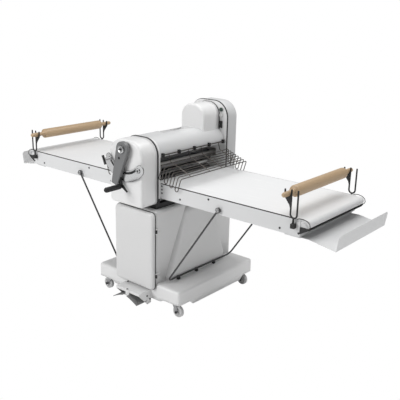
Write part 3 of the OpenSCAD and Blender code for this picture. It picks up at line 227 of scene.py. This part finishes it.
finishes = {
    "white_enamel": enamel("whiteEnamel", (0.775, 0.775, 0.775), 0.34),
    "table_enamel": enamel("tableEnamel", (0.70, 0.705, 0.71), 0.38),
    "tray_enamel": enamel("trayEnamel", (0.70, 0.705, 0.71), 0.4, edge=0, dust=0.1),
    "cabinet_enamel": enamel("cabinetEnamel", (0.67, 0.67, 0.67), 0.42, peel=0.00008),
    "cover_enamel": enamel("coverEnamel", (0.62, 0.625, 0.63), 0.4),
    "black_rubber": rubber("blackRubber", (0.02, 0.02, 0.021)),
    "black_enamel": enamel("blackEnamel", (0.006, 0.006, 0.0065), 0.5, coat=0, dust=0.005, edgeWearAndShade=0.2),
    "castor_steel": metal("castorSteel", (0.40, 0.40, 0.41), 0.34, (1, 60, 60)),
    "castor_tyre": rubber("castorTyre", (0.56, 0.56, 0.56), 0.6),
    "motor_paint": enamel("motorPaint", (0.06, 0.07, 0.09), 0.45, dust=0.1, edgeWearAndShade=0.5),
    "chain_steel": metal("chainSteel", (0.32, 0.31, 0.30), 0.42, (1, 60, 60)),
    "flour_steel": metal("flourSteel", (0.80, 0.80, 0.80), 0.55, (60, 1, 60)),
    "black_plastic": plastic("blackPlastic", (0.005, 0.005, 0.0055), 0.5),
    # Guard wire, roller chrome and scraper steel get dark colours: painted shade of the roller zone and of the dark
    # that their bright steel reflects there
    "guard_wire": metal("guardWirePaintedShade", (0.13, 0.12, 0.11), 0.3, (40, 40, 40), edge=0),
    "roller_chrome": metal("rollerChromePaintedShade", (0.17, 0.17, 0.175), 0.2, (1, 0.05, 1), 200),
    "shaft_steel": metal("shaftSteel", (0.62, 0.62, 0.63), 0.3, (1, 60, 1)),
    "scraper_steel": metal("scraperSteelPaintedShade", (0.10, 0.10, 0.105), 0.34, (60, 1, 1)),
    "lever_enamel": enamel("leverEnamel", (0.145, 0.147, 0.15), 0.4, dust=0.03, edgeWearAndShade=0.25),
    # the sector steel, also on the lever hub, strut caps and stop screw, has painted shade along its edges
    "sector_steel": metal("sectorSteel", (0.60, 0.605, 0.61), 0.22, (30, 1, 30), 60, dark=0.005),
    "green_plastic": plastic("startPlastic", (0.03, 0.05, 0.04), 0.25),
    "ring_plastic": plastic("ringPlastic", (0.62, 0.62, 0.61), 0.3),
    "switch_plastic": plastic("switchPlastic", (0.012, 0.012, 0.012), 0.25),
    "belt_cloth": beltCloth("beltCloth", (0.765, 0.77, 0.775)),
    "pedal_pad": rubber("pedalPad", (0.17, 0.17, 0.17), 0.6),
    "beech": beech("beechWood", (0.52, 0.385, 0.245)),
    "strut_steel": enamel("strutGraphite", (0.030, 0.030, 0.032), 0.34, edge=0, dust=0.015, edgeWearAndShade=0.3),
}
nodeSlot = {part["node"]: part["material_slot"] for part in record["subparts"]}
for name, obj in nodes.items():
    obj.data.materials.clear()
    obj.data.materials.append(finishes[nodeSlot[name]].material)
print("finishes made:", len(finishes))


def piece(name, points, faces, body, slotName, smooth=True, wall=0.0):
    # A mesh object in the shared frame, with its finish and the body it rides on; wall thickens it inwards
    mesh = bpy.data.meshes.new(name)
    mesh.from_pydata(np.asarray(points, float).tolist(), [], faces)
    mesh.update()
    mesh.polygons.foreach_set("use_smooth", np.full(len(mesh.polygons), smooth))
    mesh.materials.append(finishes[slotName].material)
    obj = bpy.data.objects.new(name, mesh)
    bpy.context.scene.collection.objects.link(obj)
    if wall:
        shell = obj.modifiers.new("wall", "SOLIDIFY")
        shell.thickness = wall
        shell.offset = -1
    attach(obj, body)
    return obj


def ring(width, low, high, upperRadius, lowerRadius, arc=12, run=10):
    # Outline of a round cornered box, centred on 0 across: four arcs p = c + r(cos t, sin t) with even runs between
    half = width / 2
    corners = [(half - lowerRadius, low + lowerRadius, lowerRadius, -90),
               (half - upperRadius, high - upperRadius, upperRadius, 0),
               (upperRadius - half, high - upperRadius, upperRadius, 90),
               (lowerRadius - half, low + lowerRadius, lowerRadius, 180)]
    arcs = []
    for cx, cz, radius, start in corners:
        turn = np.radians(np.linspace(start, start + 90, arc))
        arcs.append(np.stack([cx + radius * np.cos(turn), cz + radius * np.sin(turn)], 1))
    joined = []
    for k, part in enumerate(arcs):
        end, begin = part[-1], arcs[(k + 1) % 4][0]
        joined += [part, end + (begin - end) * np.linspace(0, 1, run + 2)[1:-1, None]]
    return np.concatenate(joined)


def bands(rows):
    # Four sided faces between closed rows of points, each joined to the next
    count, around = rows.shape[:2]
    index = np.arange(count * around).reshape(count, around)
    low, high = index[:-1], index[1:]
    return np.stack([low, np.roll(low, -1, 1), np.roll(high, -1, 1), high], -1).reshape(-1, 4).tolist(), index


def dome(name, rows, body, slotName, wall, closing=(0.93, 0.6, 0.25)):
    # Closed rows from an open rim to a face that is drawn together, by the shares in closing, to its middle point
    rows = list(rows)
    centre = rows[-1].mean(0)
    rows += [centre + (rows[-1] - centre) * share for share in closing]
    rows = np.array(rows) + middle
    faces, index = bands(rows)
    last = index[-1]
    faces += np.stack([last, np.roll(last, -1), np.full(len(last), index.size)], -1).tolist()
    return piece(name, np.vstack([rows.reshape(-1, 3), centre + middle]), faces, body, slotName, wall=wall)


def quarter(edge, count=9):
    # Steps of a quarter round: set in by e(1 - cos t), short of the face by e(1 - sin t)
    turn = np.linspace(0, math.pi / 2, count)
    return zip(edge * (1 - np.cos(turn)), edge * (1 - np.sin(turn)))


def cover(name, body, slotName, shape, outward, walls=(0, 0.3, 0.75)):
    # A pressed cover with a quarter round front edge; outward is the way its face looks across the belts,
    # and walls are the rows of its straight side, as shares of its depth
    deep = shape["face"] - shape["edge"] - shape["back"]
    steps = [(0.0, shape["back"] + share * deep) for share in walls]
    steps += [(inset, shape["face"] - short) for inset, short in quarter(shape["edge"])]
    rows = []
    for inset, depth in steps:
        flat = ring(shape["width"] - 2 * inset, shape["low"] + inset, shape["high"] - inset,
                    shape["upperRadius"] - inset, max(shape["lowerRadius"] - inset, 0.001))
        rows.append(np.stack([flat[:, 0], np.full(len(flat), outward * depth), flat[:, 1]], 1)[::-outward])
    return dome(name, rows, body, slotName, shape["wall"])


def rods(name, body, slotName, paths, radius, closed=False, sides=3):
    # Round rods or beads of one radius, each along a row of points; more sides make them rounder
    data = bpy.data.curves.new(name, "CURVE")
    data.dimensions = "3D"
    data.bevel_depth = radius
    data.bevel_resolution = sides
    data.use_fill_caps = True
    for path in paths:
        path = np.asarray(path, float) + middle
        spline = data.splines.new("POLY")
        spline.points.add(len(path) - 1)
        spline.points.foreach_set("co", np.column_stack([path, np.ones(len(path))]).ravel())
        spline.use_cyclic_u = closed
        spline.use_smooth = True
    data.materials.append(finishes[slotName].material)
    obj = bpy.data.objects.new(name, data)
    bpy.context.scene.collection.objects.link(obj)
    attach(obj, body)
    return obj


def bead(name, body, shape, depth, radius, inset=0.0):
    # Rubber bead along the rim of a cover
    flat = ring(shape["width"] - 2 * inset, shape["low"] + inset, shape["high"] - inset, shape["upperRadius"] - inset,
                shape["lowerRadius"] - inset)
    path = np.stack([flat[:, 0], np.full(len(flat), depth), flat[:, 1]], 1)
    return rods(name, body, "black_rubber", [path], radius, closed=True)


def turned(name, body, slotName, parts, axis="y", smooth=False, around=24):
    # Turned pieces in one mesh: for each a place, a profile of (radius, along) points, and 1 or -1 for its way.
    # A point is place + r cos t u + r sin t v + along w, and both ends are closed
    u, v, w = {"x": ((0, 1, 0), (0, 0, 1), (1, 0, 0)), "y": ((1, 0, 0), (0, 0, 1), (0, -1, 0)),
               "z": ((1, 0, 0), (0, 1, 0), (0, 0, 1))}[axis]
    turn = np.linspace(0, 2 * math.pi, around, endpoint=False)[:, None]
    circle = np.cos(turn) * np.array(u) + np.sin(turn) * np.array(v)
    points, faces, first = [], [], 0
    for place, profile, way in parts:
        profile = np.array(profile, float)
        radius, along = profile[:, 0, None, None], profile[:, 1, None, None]
        rows = np.array(place) + middle + radius * circle + way * along * np.array(w)
        side, index = bands(rows)
        ends = [np.stack([np.roll(index[0], -1), index[0], np.full(around, index.size)], -1).tolist(),
                np.stack([index[-1], np.roll(index[-1], -1), np.full(around, index.size + 1)], -1).tolist()]
        for face in side + ends[0] + ends[1]:
            faces.append([first + k for k in (face if way > 0 else face[::-1])])
        points += [rows.reshape(-1, 3), rows[[0, -1]].mean(1)]
        first += index.size + 2
    return piece(name, np.concatenate(points), faces, body, slotName, smooth)


barEdge = dict(width=0.0008, segments=2)


def boxes(name, body, slotName, blocks):
    # Plain bars given by two corners; a small bevel takes off their edges
    corner = np.array([[0, 0, 0], [1, 0, 0], [1, 1, 0], [0, 1, 0], [0, 0, 1], [1, 0, 1], [1, 1, 1], [0, 1, 1]])
    sides = np.array([[0, 3, 2, 1], [4, 5, 6, 7], [0, 1, 5, 4], [1, 2, 6, 5], [2, 3, 7, 6], [3, 0, 4, 7]])
    points = [np.array(low) + corner * (np.array(high) - np.array(low)) + middle for low, high in blocks]
    faces = [(sides + 8 * k).tolist() for k in range(len(blocks))]
    obj = piece(name, np.concatenate(points), sum(faces, []), body, slotName, smooth=False)
    soften = obj.modifiers.new("edges", "BEVEL")
    soften.width = barEdge["width"]
    soften.segments = barEdge["segments"]
    return obj


def plates(name, body, slotName, outline, depths, way):
    # A flat plate with an outline in x and z between two depths; way is 1 for an outline that runs anticlockwise
    flat = np.array(outline)[::way]
    points = np.concatenate([np.stack([flat[:, 0], np.full(len(flat), y), flat[:, 1]], 1) for y in depths]) + middle
    count = len(flat)
    turn = np.arange(count)
    faces = [turn.tolist(), (turn[::-1] + count).tolist()]
    faces += np.stack([turn, turn + count, np.roll(turn, -1) + count, np.roll(turn, -1)], 1).tolist()
    return piece(name, points, faces, body, slotName, smooth=False)


def span(node, axis, origin=0.0):
    low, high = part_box(node)
    return low[axis] - origin, high[axis] - origin


def coverShape(node, outward, **shape):
    # Size and place of a cover from its CAD node; back and face are measured along the way that it looks
    across, deep, upright = span(node, 0), span(node, 1, middleY), span(node, 2)
    back, face = sorted(outward * y for y in deep)
    return dict(width=across[1] - across[0], low=upright[0], high=upright[1], back=back, face=face, **shape)


def barrel(radius, start, end):
    return [(radius, start), (radius, end)]


# Front head, its rubber bead and the hinge barrel at its foot
head = coverShape("front_head_cover", -1, upperRadius=0.108, lowerRadius=0.028, edge=0.020, wall=0.003)
headBead = dict(depth=-0.349, radius=0.0075, inset=0.0025)
headHinge = dict(x=0.150, y=-0.338, low=0.742, high=0.776, radius=0.0055)
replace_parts(cover("frontHeadSkin", "machine", "white_enamel", head, -1), "front_head_cover")
bead("frontHeadBead", "machine", head, **headBead)
turned("headHinge", "machine", "black_enamel",
       [((headHinge["x"], headHinge["y"], 0), barrel(headHinge["radius"], headHinge["low"], headHinge["high"]), 1)],
       "z")

# Column cover
column = coverShape("column_cover", 1, upperRadius=0.115, lowerRadius=0.028, edge=0.018, wall=0.003)
columnBead = dict(depth=0.337, radius=0.0072, inset=0.0025)
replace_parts(cover("columnSkin", "machine", "cover_enamel", column, 1), "column_cover")
bead("columnBead", "machine", column, **columnBead)

# Control box, let down a little into the roller cover; its bead lies just ahead of its back
control = coverShape("control_box", -1, upperRadius=0.09, lowerRadius=0.01, edge=0.014, wall=0.003)
controlFit = dict(letDown=0.02, beadAhead=0.002, beadRadius=0.0036, beadInset=0.0005)
control["low"] -= controlFit["letDown"]
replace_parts(cover("controlBoxSkin", "machine", "white_enamel", control, -1), "control_box")
bead("controlBoxBead", "machine", control, -control["back"] - controlFit["beadAhead"], controlFit["beadRadius"],
     controlFit["beadInset"])

# Door with its seal and knuckles; the black seal bead also paints the shade of the gap round the door; the leaves of
# its hinges are painted with the cabinet
door = coverShape("cabinet_door", -1, upperRadius=0.028, lowerRadius=0.028, edge=0.021, wall=0.004)
doorFit = dict(width=0.356, depth=0.026, sealBehind=0.0278, sealRadius=0.0030, sealInset=-0.0005)
door.update(width=doorFit["width"], back=door["face"] - doorFit["depth"])
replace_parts(cover("doorSkin", "door", "cabinet_enamel", door, -1), "cabinet_door")
# seal bead, black also as painted shade of the door gap
bead("doorSealAndGapShade", "door", door, -door["face"] + doorFit["sealBehind"], doorFit["sealRadius"], doorFit["sealInset"])
knuckle = dict(x=0.184, y=-0.3985, radius=0.0062, half=0.013, heights=(0.260, 0.573))
turned("doorKnuckles", "door", "black_enamel",
       [((knuckle["x"], knuckle["y"], z), barrel(knuckle["radius"], -knuckle["half"], knuckle["half"]), 1)
        for z in knuckle["heights"]], "z")
nodes["door_hinges"].data.materials[0] = finishes["cabinet_enamel"].material
print("covers made")


def level(z, half, front, back, radius):
    # A level closed row of a round cornered box
    flat = ring(2 * half, front, back, radius, radius)
    return np.stack([flat[:, 0], flat[:, 1], np.full(len(flat), z)], 1)


def tighter(radius, inset):
    # A corner whose row is drawn in: it loses nine tenths of the inset, so that it stays round
    return radius - 0.9 * inset


# Cabinet
cabinet = dict(half=0.178, front=-0.399, back=0.412, low=0.200, straight=0.2, top=0.705, corner=0.026, edge=0.022,
               wall=0.005)
rows = [level(cabinet["low"] + rise, cabinet["half"], cabinet["front"], cabinet["back"], cabinet["corner"])
        for rise in (0, cabinet["straight"])]
for inset, short in quarter(cabinet["edge"]):
    rows.append(level(cabinet["top"] - short, cabinet["half"] - inset, cabinet["front"] + inset,
                      cabinet["back"] - inset, tighter(cabinet["corner"], inset)))
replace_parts(dome("cabinetSkin", rows, "machine", "cabinet_enamel", cabinet["wall"]), "cabinet_shell")

# Its swollen sides: straight at the foot, then drawn in evenly to a narrower top
swell = dict(lowHalf=0.220, lowFront=-0.300, lowBack=0.300, topHalf=0.190, topFront=-0.117, topBack=0.150, low=0.200,
             straight=0.040, top=0.675, corner=0.034, levels=12)
rise = swell["top"] - swell["low"] - swell["straight"]
rows = []
for share in np.linspace(0, 1, swell["levels"]):
    part = [swell["low" + side] + share * (swell["top" + side] - swell["low" + side])
            for side in ("Half", "Front", "Back")]
    rows.append(level(swell["low"] + swell["straight"] + share * rise, *part, swell["corner"]))
rows.insert(0, rows[0] - (0, 0, swell["straight"]))
dome("cabinetSwell", rows, "machine", "cabinet_enamel", 0.0)

# Chassis cover with its scalloped skirt
chassis = dict(half=0.382, front=-0.395, back=0.416, top=0.200, corner=0.020, edge=0.018, straight=0.120, wall=0.005,
               lowSide=0.076, lowFront=0.088, lowCorner=0.104, reachX=0.135, reachY=0.115, ramp=0.028, run=48)


def chassisRow(inset, z):
    # With no height given, the lower edge: raised at the castors and let down between them by a short ramp
    radius = tighter(chassis["corner"], inset)
    flat = ring(2 * (chassis["half"] - inset), chassis["front"] + inset, chassis["back"] - inset, radius, radius,
                run=chassis["run"])
    x, y = flat.T
    if z is None:
        besideX = chassis["half"] - np.abs(x)
        besideY = np.minimum(y - chassis["front"], chassis["back"] - y)
        onSide, onFront = besideX < 1e-5, besideY < 1e-5
        along = np.where(onSide, besideY - chassis["reachY"], besideX - chassis["reachX"])
        low = np.where(onSide, chassis["lowSide"], chassis["lowFront"])
        let = (chassis["lowCorner"] - low) * np.clip(along / chassis["ramp"], 0, 1)
        z = chassis["lowCorner"] - np.where(onSide | onFront, let, 0)
    return np.stack([x, y, np.broadcast_to(z, x.shape)], 1)


rows = [chassisRow(0, None), chassisRow(0, chassis["straight"])]
rows += [chassisRow(inset, chassis["top"] - short) for inset, short in quarter(chassis["edge"])]
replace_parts(dome("chassisSkin", rows, "machine", "white_enamel", chassis["wall"]), "chassis_cover")
print("cabinet and chassis made")

# Hexagon socket screws of the side panels; those that pass close by the side plates as the table folds are flush
screw = dict(radius=0.0065, height=0.003, socket=0.0032, face=0.325,
             places=((0.319, 0.805), (0.549, 0.855), (1.067, 0.800), (1.190, 0.798)))
screwProfile = [(screw["radius"], 0), (screw["radius"], 0.6 * screw["height"]),
                (0.8 * screw["radius"], screw["height"]), (screw["socket"], screw["height"]),
                (screw["socket"], 0.3 * screw["height"])]
flush = dict(height=0.0005, socketFloor=0.0002, places=((0.161, 0.861), (0.162, 0.838), (0.162, 0.815)))
flushProfile = [(screw["radius"], 0), (screw["radius"], flush["height"]), (screw["socket"], flush["height"]),
                (screw["socket"], flush["socketFloor"])]

# Steel caps on the strut pivots
strutCap = dict(x=0.635, z=0.808, face=0.348,
                profile=((0.0125, 0), (0.0125, 0.002), (0.0105, 0.0036), (0.005, 0.0042), (0.005, 0.0012)))

# Bars at the end of a table: a white bar below the bed, a black strip under the nose roller that paints the shade
# beneath the nose, and a black strip along the near edge of the belt that paints the shade of the gap between belt and
# panel
endBar = dict(low=(1.1885, -0.3215, 0.7765), high=(1.1965, 0.3215, 0.8060))
noseShade = dict(low=(1.2190, -0.3150, 0.8215), high=(1.2490, 0.3150, 0.8285))
beltGapShade = dict(low=(0.152, -0.3254, 0.8736), high=(1.150, -0.3176, 0.8782))

# Wire catches of the nose roller, seen from the side: an outer and an inner bend, as (x, z), and a cheek below them
nose = dict(side=0.3275, outerRadius=0.0022, innerRadius=0.0016, steps=25)
outerBend = [(1.178, 0.8775), (1.190, 0.8835), (1.214, 0.8850), (1.240, 0.8790), (1.257, 0.8650), (1.261, 0.8480),
             (1.255, 0.8360), (1.244, 0.8310)]
innerBend = [(1.178, 0.8640), (1.196, 0.8680), (1.222, 0.8660), (1.236, 0.8580), (1.240, 0.8480), (1.246, 0.8400)]
cheek = dict(outer=0.3275, inner=0.3215,
             outline=((1.196, 0.798), (1.204, 0.798), (1.250, 0.826), (1.246, 0.836), (1.196, 0.836)))


def mirrored(sign, block):
    # The two corners of a block, on the right table or turned over to the left one
    (startX, *low), (endX, *high) = block["low"], block["high"]
    startX, endX = sorted((sign * startX, sign * endX))
    return (startX, *low), (endX, *high)


def catches(sign, bend):
    # One bend on each side of the table, as even steps along its points
    steps = np.linspace(0, len(bend) - 1, nose["steps"])
    x, z = (np.interp(steps, range(len(bend)), [point[k] for point in bend]) for k in (0, 1))
    return [np.stack([sign * x, np.full(len(x), side * nose["side"]), z], 1) for side in (-1, 1)]


for sideName, sign in (("right", 1), ("left", -1)):
    table = sideName + "_table"
    turned(sideName + "PanelScrews", table, "black_enamel",
           [((sign * x, -way * screw["face"], z), profile, way)
            for profile, places in ((screwProfile, screw["places"]), (flushProfile, flush["places"]))
            for x, z in places for way in (-1, 1)])
    turned(sideName + "StrutCaps", table, "sector_steel",
           [((sign * strutCap["x"], -way * strutCap["face"], strutCap["z"]), strutCap["profile"], way)
            for way in (-1, 1)])
    rods(sideName + "NoseCatches", table, "black_enamel", catches(sign, outerBend), nose["outerRadius"])
    rods(sideName + "NoseSprings", table, "shaft_steel", catches(sign, innerBend), nose["innerRadius"])
    boxes(sideName + "EndBar", table, "table_enamel", [mirrored(sign, endBar)])
    # painted shade under the nose roller
    boxes(sideName + "NoseShadeStrip", table, "black_rubber", [mirrored(sign, noseShade)])
    for side, end in ((-1, "Front"), (1, "Rear")):
        plates(sideName + "NoseCheek" + end, table, "black_rubber", [(sign * x, z) for x, z in cheek["outline"]],
               sorted((side * cheek["outer"], side * cheek["inner"])), sign)
    # painted shade of the gap along the near edge of the belt
    boxes(sideName + "BeltGapShadeStrip", table, "black_rubber", [mirrored(sign, beltGapShade)])
print("table fittings made")

# Rolling pins: half a profile of (radius, along) in mm, from the middle of the barrel to the tip of the handle
pin = dict(x=1.118, z=1.015, around=48)
halfPin = [(34, 0), (34, 272), (33.6, 276), (32.4, 279.5), (30, 282), (27, 283), (22, 283.2), (21, 285), (20.5, 290),
           (19, 292), (15, 293), (13.2, 296), (13, 304), (14.2, 314), (15, 326), (15, 364), (14.6, 378), (13, 388),
           (9.5, 394), (4, 396)]
pinProfile = [(r * 0.001, -a * 0.001) for r, a in halfPin[:0:-1]] + [(r * 0.001, a * 0.001) for r, a in halfPin]
for sideName, sign in (("right", 1), ("left", -1)):
    made = turned(sideName + "PinTurned", sideName + "_rolling_pin", "beech",
                  [((sign * pin["x"], 0, pin["z"]), pinProfile, 1)], smooth=True, around=pin["around"])
    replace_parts(made, sideName + "_rolling_pin")

# Lever: hub cap with its dark screw, and the plug in the second hole
lever = dict(x=0.008, z=1.112, face=-0.5325, hubAround=36, screwAhead=0.0093, plugX=-0.0155, plugZ=1.0514,
             plugBehind=0.003)
hubProfile = [(0.028, 0), (0.028, 0.007), (0.0255, 0.0105), (0.018, 0.0115), (0.0155, 0.0105), (0.013, 0.0093)]
leverScrew = [(0.0085, 0), (0.0085, 0.003), (0.007, 0.0042), (0.004, 0.0042), (0.004, 0.001)]
leverPlug = [(0.0088, 0), (0.0088, 0.0034), (0.0075, 0.0045), (0.004, 0.0032)]
turned("leverHub", "lever", "sector_steel", [((lever["x"], lever["face"], lever["z"]), hubProfile, 1)],
       around=lever["hubAround"])
turned("leverScrew", "lever", "black_enamel",
       [((lever["x"], lever["face"] - lever["screwAhead"], lever["z"]), leverScrew, 1)])
turned("leverPlug", "lever", "black_plastic",
       [((lever["plugX"], lever["face"] + lever["plugBehind"], lever["plugZ"]), leverPlug, 1)])

# Stops in the slot of the sector: a knob with a cross bar, and a steel screw with a dark socket at the low end
stops = dict(front=-0.506, knobRadius=0.1575, knobAngle=-147, screwRadius=0.172, screwAngle=-46, barAhead=0.053,
             barLean=0.012, barRise=0.028, barThick=0.0078)
stemProfile = [(0.011, 0), (0.011, 0.008), (0.007, 0.0085), (0.007, 0.047)]
stopProfile = [(0.017, 0), (0.017, 0.003), (0.0155, 0.006), (0.0068, 0.006), (0.0068, 0.0015)]
stopSocket = [(0.0066, 0.001), (0.0066, 0.0028), (0.003, 0.0028)]


def aboutLever(radius, turn):
    # A place about the lever axis: (x, z) = axis + r (cos t, sin t)
    return lever["x"] + radius * np.cos(turn), lever["z"] + radius * np.sin(turn)


knobX, knobZ = aboutLever(stops["knobRadius"], math.radians(stops["knobAngle"]))
stopX, stopZ = aboutLever(stops["screwRadius"], math.radians(stops["screwAngle"]))
stem = turned("stopKnobStem", "machine", "shaft_steel", [((knobX, stops["front"], knobZ), stemProfile, 1)])
barPoints = [(knobX - stops["barLean"] * t, stops["front"] - stops["barAhead"], knobZ + stops["barRise"] * t)
             for t in (-1, -0.6, 0, 0.6, 1)]
bar = rods("stopKnobBar", "machine", "black_plastic", [barPoints], stops["barThick"])
stopScrew = turned("stopScrew", "machine", "sector_steel", [((stopX, stops["front"], stopZ), stopProfile, 1)])
for made in (stem, bar, stopScrew):
    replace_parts(made, "sector_stops")
turned("stopScrewSocket", "machine", "black_enamel", [((stopX, stops["front"], stopZ), stopSocket, 1)])

# Painted shade of the slot: a dark band behind it, an arc about the lever axis
slot = dict(radius=0.1575, half=0.0065, start=-140, end=-57, front=-0.4945, back=-0.4932, steps=40)
turn = np.radians(np.linspace(slot["start"], slot["end"], slot["steps"]))
outer, inner = (np.stack(aboutLever(slot["radius"] + out * slot["half"], turn), 1) for out in (1, -1))
plates("sectorSlotShade", "machine", "black_rubber", np.concatenate([outer, inner[::-1]]),
       (slot["front"], slot["back"]), 1)

# Reversing pedal: a hub and two wings, z = top - a u - b u^2 with ribs along their width
pedal = dict(x=0.022, z=0.116, hubRadius=0.0095, hubFrom=-0.500, hubTo=-0.426, hubReach=0.019, wingFrom=-0.534,
             wingTo=-0.436, top=0.1245, slope=0.22, bow=1.6, ribs=0.0018, pitch=0.0095, start=0.004, length=0.112,
             wall=0.004, along=97, across=5)
turned("pedalHub", "pedal", "castor_steel",
       [((pedal["x"], 0, pedal["z"]), barrel(pedal["hubRadius"], -pedal["hubTo"], -pedal["hubFrom"]), 1)])
u = pedal["start"] + np.linspace(0, 1, pedal["along"]) * (pedal["length"] - pedal["start"])
rib = pedal["ribs"] * (1 - np.abs(np.sin(math.pi * u / pedal["pitch"])))
height = pedal["top"] - pedal["slope"] * u - pedal["bow"] * u ** 2 + rib
front = np.where(u < pedal["hubReach"], pedal["hubFrom"], pedal["wingFrom"])  # the wing is cut back beside the hub
index = np.arange(pedal["across"] * pedal["along"]).reshape(pedal["across"], pedal["along"])
corners = [index[:-1, :-1], index[:-1, 1:], index[1:, 1:], index[1:, :-1]]
for wingName, sign in (("Right", 1), ("Left", -1)):
    grid = np.array([np.stack([pedal["x"] + sign * u, front + share * (pedal["wingTo"] - front), height], 1)
                     for share in np.linspace(0, 1, pedal["across"])]) + middle
    faces = np.stack(corners[::sign], -1).reshape(-1, 4).tolist()
    wing = piece("pedalWing" + wingName, grid.reshape(-1, 3), faces, "pedal", "black_rubber", wall=pedal["wall"])
    wing.data.materials[0] = finishes["pedal_pad"].material
    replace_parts(wing, "reversing_pedal")

# Screws of the pedal bracket, in its right end and in its top
bracket = dict(side=0.132, sidePlaces=((-0.433, 0.114), (-0.405, 0.084)), top=0.150,
               topPlaces=((0.014, -0.500), (-0.072, -0.412)))
turned("bracketSideScrews", "machine", "black_enamel",
       [((bracket["side"], y, z), screwProfile, 1) for y, z in bracket["sidePlaces"]], "x")
turned("bracketTopScrews", "machine", "black_enamel",
       [((x, y, bracket["top"]), screwProfile, 1) for x, y in bracket["topPlaces"]], "z")

# Castors: dark axle caps on both sides of each fork
castor = dict(out=0.312, front=-0.345, back=0.366, trail=0.025, axle=0.040, forkHalf=0.027,
              cap=((0.0085, 0), (0.0085, 0.0025), (0.0065, 0.004), (0.003, 0.0042)))
castorPlaces = [(1, castor["front"], 1), (-1, castor["front"], -1), (1, castor["back"], 1), (-1, castor["back"], -1)]
for k, (side, y, way) in enumerate(castorPlaces, 1):
    x = side * castor["out"] + way * castor["trail"]
    turned("castorCaps" + str(k), "castor_" + str(k), "black_plastic",
           [((x, y - end * castor["forkHalf"], castor["axle"]), castor["cap"], end) for end in (-1, 1)])
print("turned pieces made")

# Floor, lamps and world
studio = dict(floorSize=300, floorColor=(0.93, 0.93, 0.93), floorRoughness=0.9, mirrorShare=0.3, worldLight=0.26)
lamps = {
    "keyLamp": dict(place=(-1.9, -4.7, 3.0), aim=(0, 0, 0.8), size=(2.4, 2.4), power=160),
    "topLamp": dict(place=(0.6, 0.6, 4.2), aim=(0.3, 0, 0.8), size=(3.0, 3.0), power=112),
    "sideLamp": dict(place=(4.4, -0.2, 0.6), aim=(0, 0, 0.25), size=(2.4, 1.0), power=20),
}


def studioFloor():
    # Pale floor that reads as pure white to the camera and, in part, to mirror-like surfaces
    made = Finish("studioFloor", studio["floorColor"], studio["floorRoughness"])
    glow = made.node("Emission", Color=(1, 1, 1, 1), Strength=1.0)
    byCamera, byMirror = made.node("LightPath", output=0), made.node("LightPath", output=3)
    seen = (byCamera + byMirror * studio["mirrorShare"]).clamped()
    shown = made.node("MixShader", i0=seen, i1=Wire(made.tree, made.shader.outputs[0]), i2=glow)
    made.tree.links.new(shown.socket, made.tree.nodes["Material Output"].inputs[0])
    made.material.cycles.emission_sampling = "NONE"  # white to the camera, but no lamp
    return made.material


bpy.ops.mesh.primitive_plane_add(size=studio["floorSize"], location=(0, 0, 0))
floor = bpy.context.object
floor.name = "studioFloor"
floor.data.materials.append(studioFloor())


def softLamp(name, place, aim, size, power):
    data = bpy.data.lights.new(name, "AREA")
    data.shape = "RECTANGLE"
    data.size, data.size_y = size
    data.energy = power
    lamp = bpy.data.objects.new(name, data)
    lamp.location = place
    lamp.rotation_euler = (Vector(aim) - Vector(place)).to_track_quat("-Z", "Y").to_euler()
    bpy.context.scene.collection.objects.link(lamp)


for name, settings in lamps.items():
    softLamp(name, **settings)

# Plain white world: white to the camera, dim to everything else
world = bpy.data.worlds.new("studio")
bpy.context.scene.world = world
world.use_nodes = True
tree = world.node_tree
dim = tree.nodes["Background"]
dim.inputs["Color"].default_value = (1, 1, 1, 1)
dim.inputs["Strength"].default_value = studio["worldLight"]
white = tree.nodes.new("ShaderNodeBackground")
white.inputs["Color"].default_value = (1, 1, 1, 1)
seen = tree.nodes.new("ShaderNodeLightPath").outputs["Is Camera Ray"]
mix = tree.nodes.new("ShaderNodeMixShader")
for source, target in ((seen, mix.inputs[0]), (dim.outputs[0], mix.inputs[1]), (white.outputs[0], mix.inputs[2]),
                       (mix.outputs[0], tree.nodes["World Output"].inputs[0])):
    tree.links.new(source, target)

# Camera at the photograph's viewing angle
view = dict(place=(2.8721, -3.2125, 1.9912), yaw=-39.61, pitch=-17.11, roll=1.364, focalPixels=638.17, imagePixels=400,
            sensor=36, clipEnd=500)


def viewMatrix():
    # Forward f = (cos p sin y, cos p cos y, sin p), right r = (cos y, -sin y, 0), up = r x f, then a roll about f
    yaw, pitch, roll = (math.radians(view[k]) for k in ("yaw", "pitch", "roll"))
    forward = Vector((math.cos(pitch) * math.sin(yaw), math.cos(pitch) * math.cos(yaw), math.sin(pitch)))
    right = Vector((math.cos(yaw), -math.sin(yaw), 0))
    up = right.cross(forward)
    rolled = (right * math.cos(roll) + up * math.sin(roll), up * math.cos(roll) - right * math.sin(roll), -forward)
    return Matrix.Translation(Vector(view["place"]) + Vector(middle)) @ Matrix(rolled).transposed().to_4x4()


cameraData = bpy.data.cameras.new("photoCamera")
cameraData.sensor_width = view["sensor"]
cameraData.lens = cameraData.sensor_width * view["focalPixels"] / view["imagePixels"]
cameraData.clip_end = view["clipEnd"]
camera = bpy.data.objects.new("photoCamera", cameraData)
camera.matrix_world = viewMatrix()
bpy.context.scene.collection.objects.link(camera)
bpy.context.scene.camera = camera
bpy.context.scene.view_settings.view_transform = "Standard"
print("stage, light and camera made")
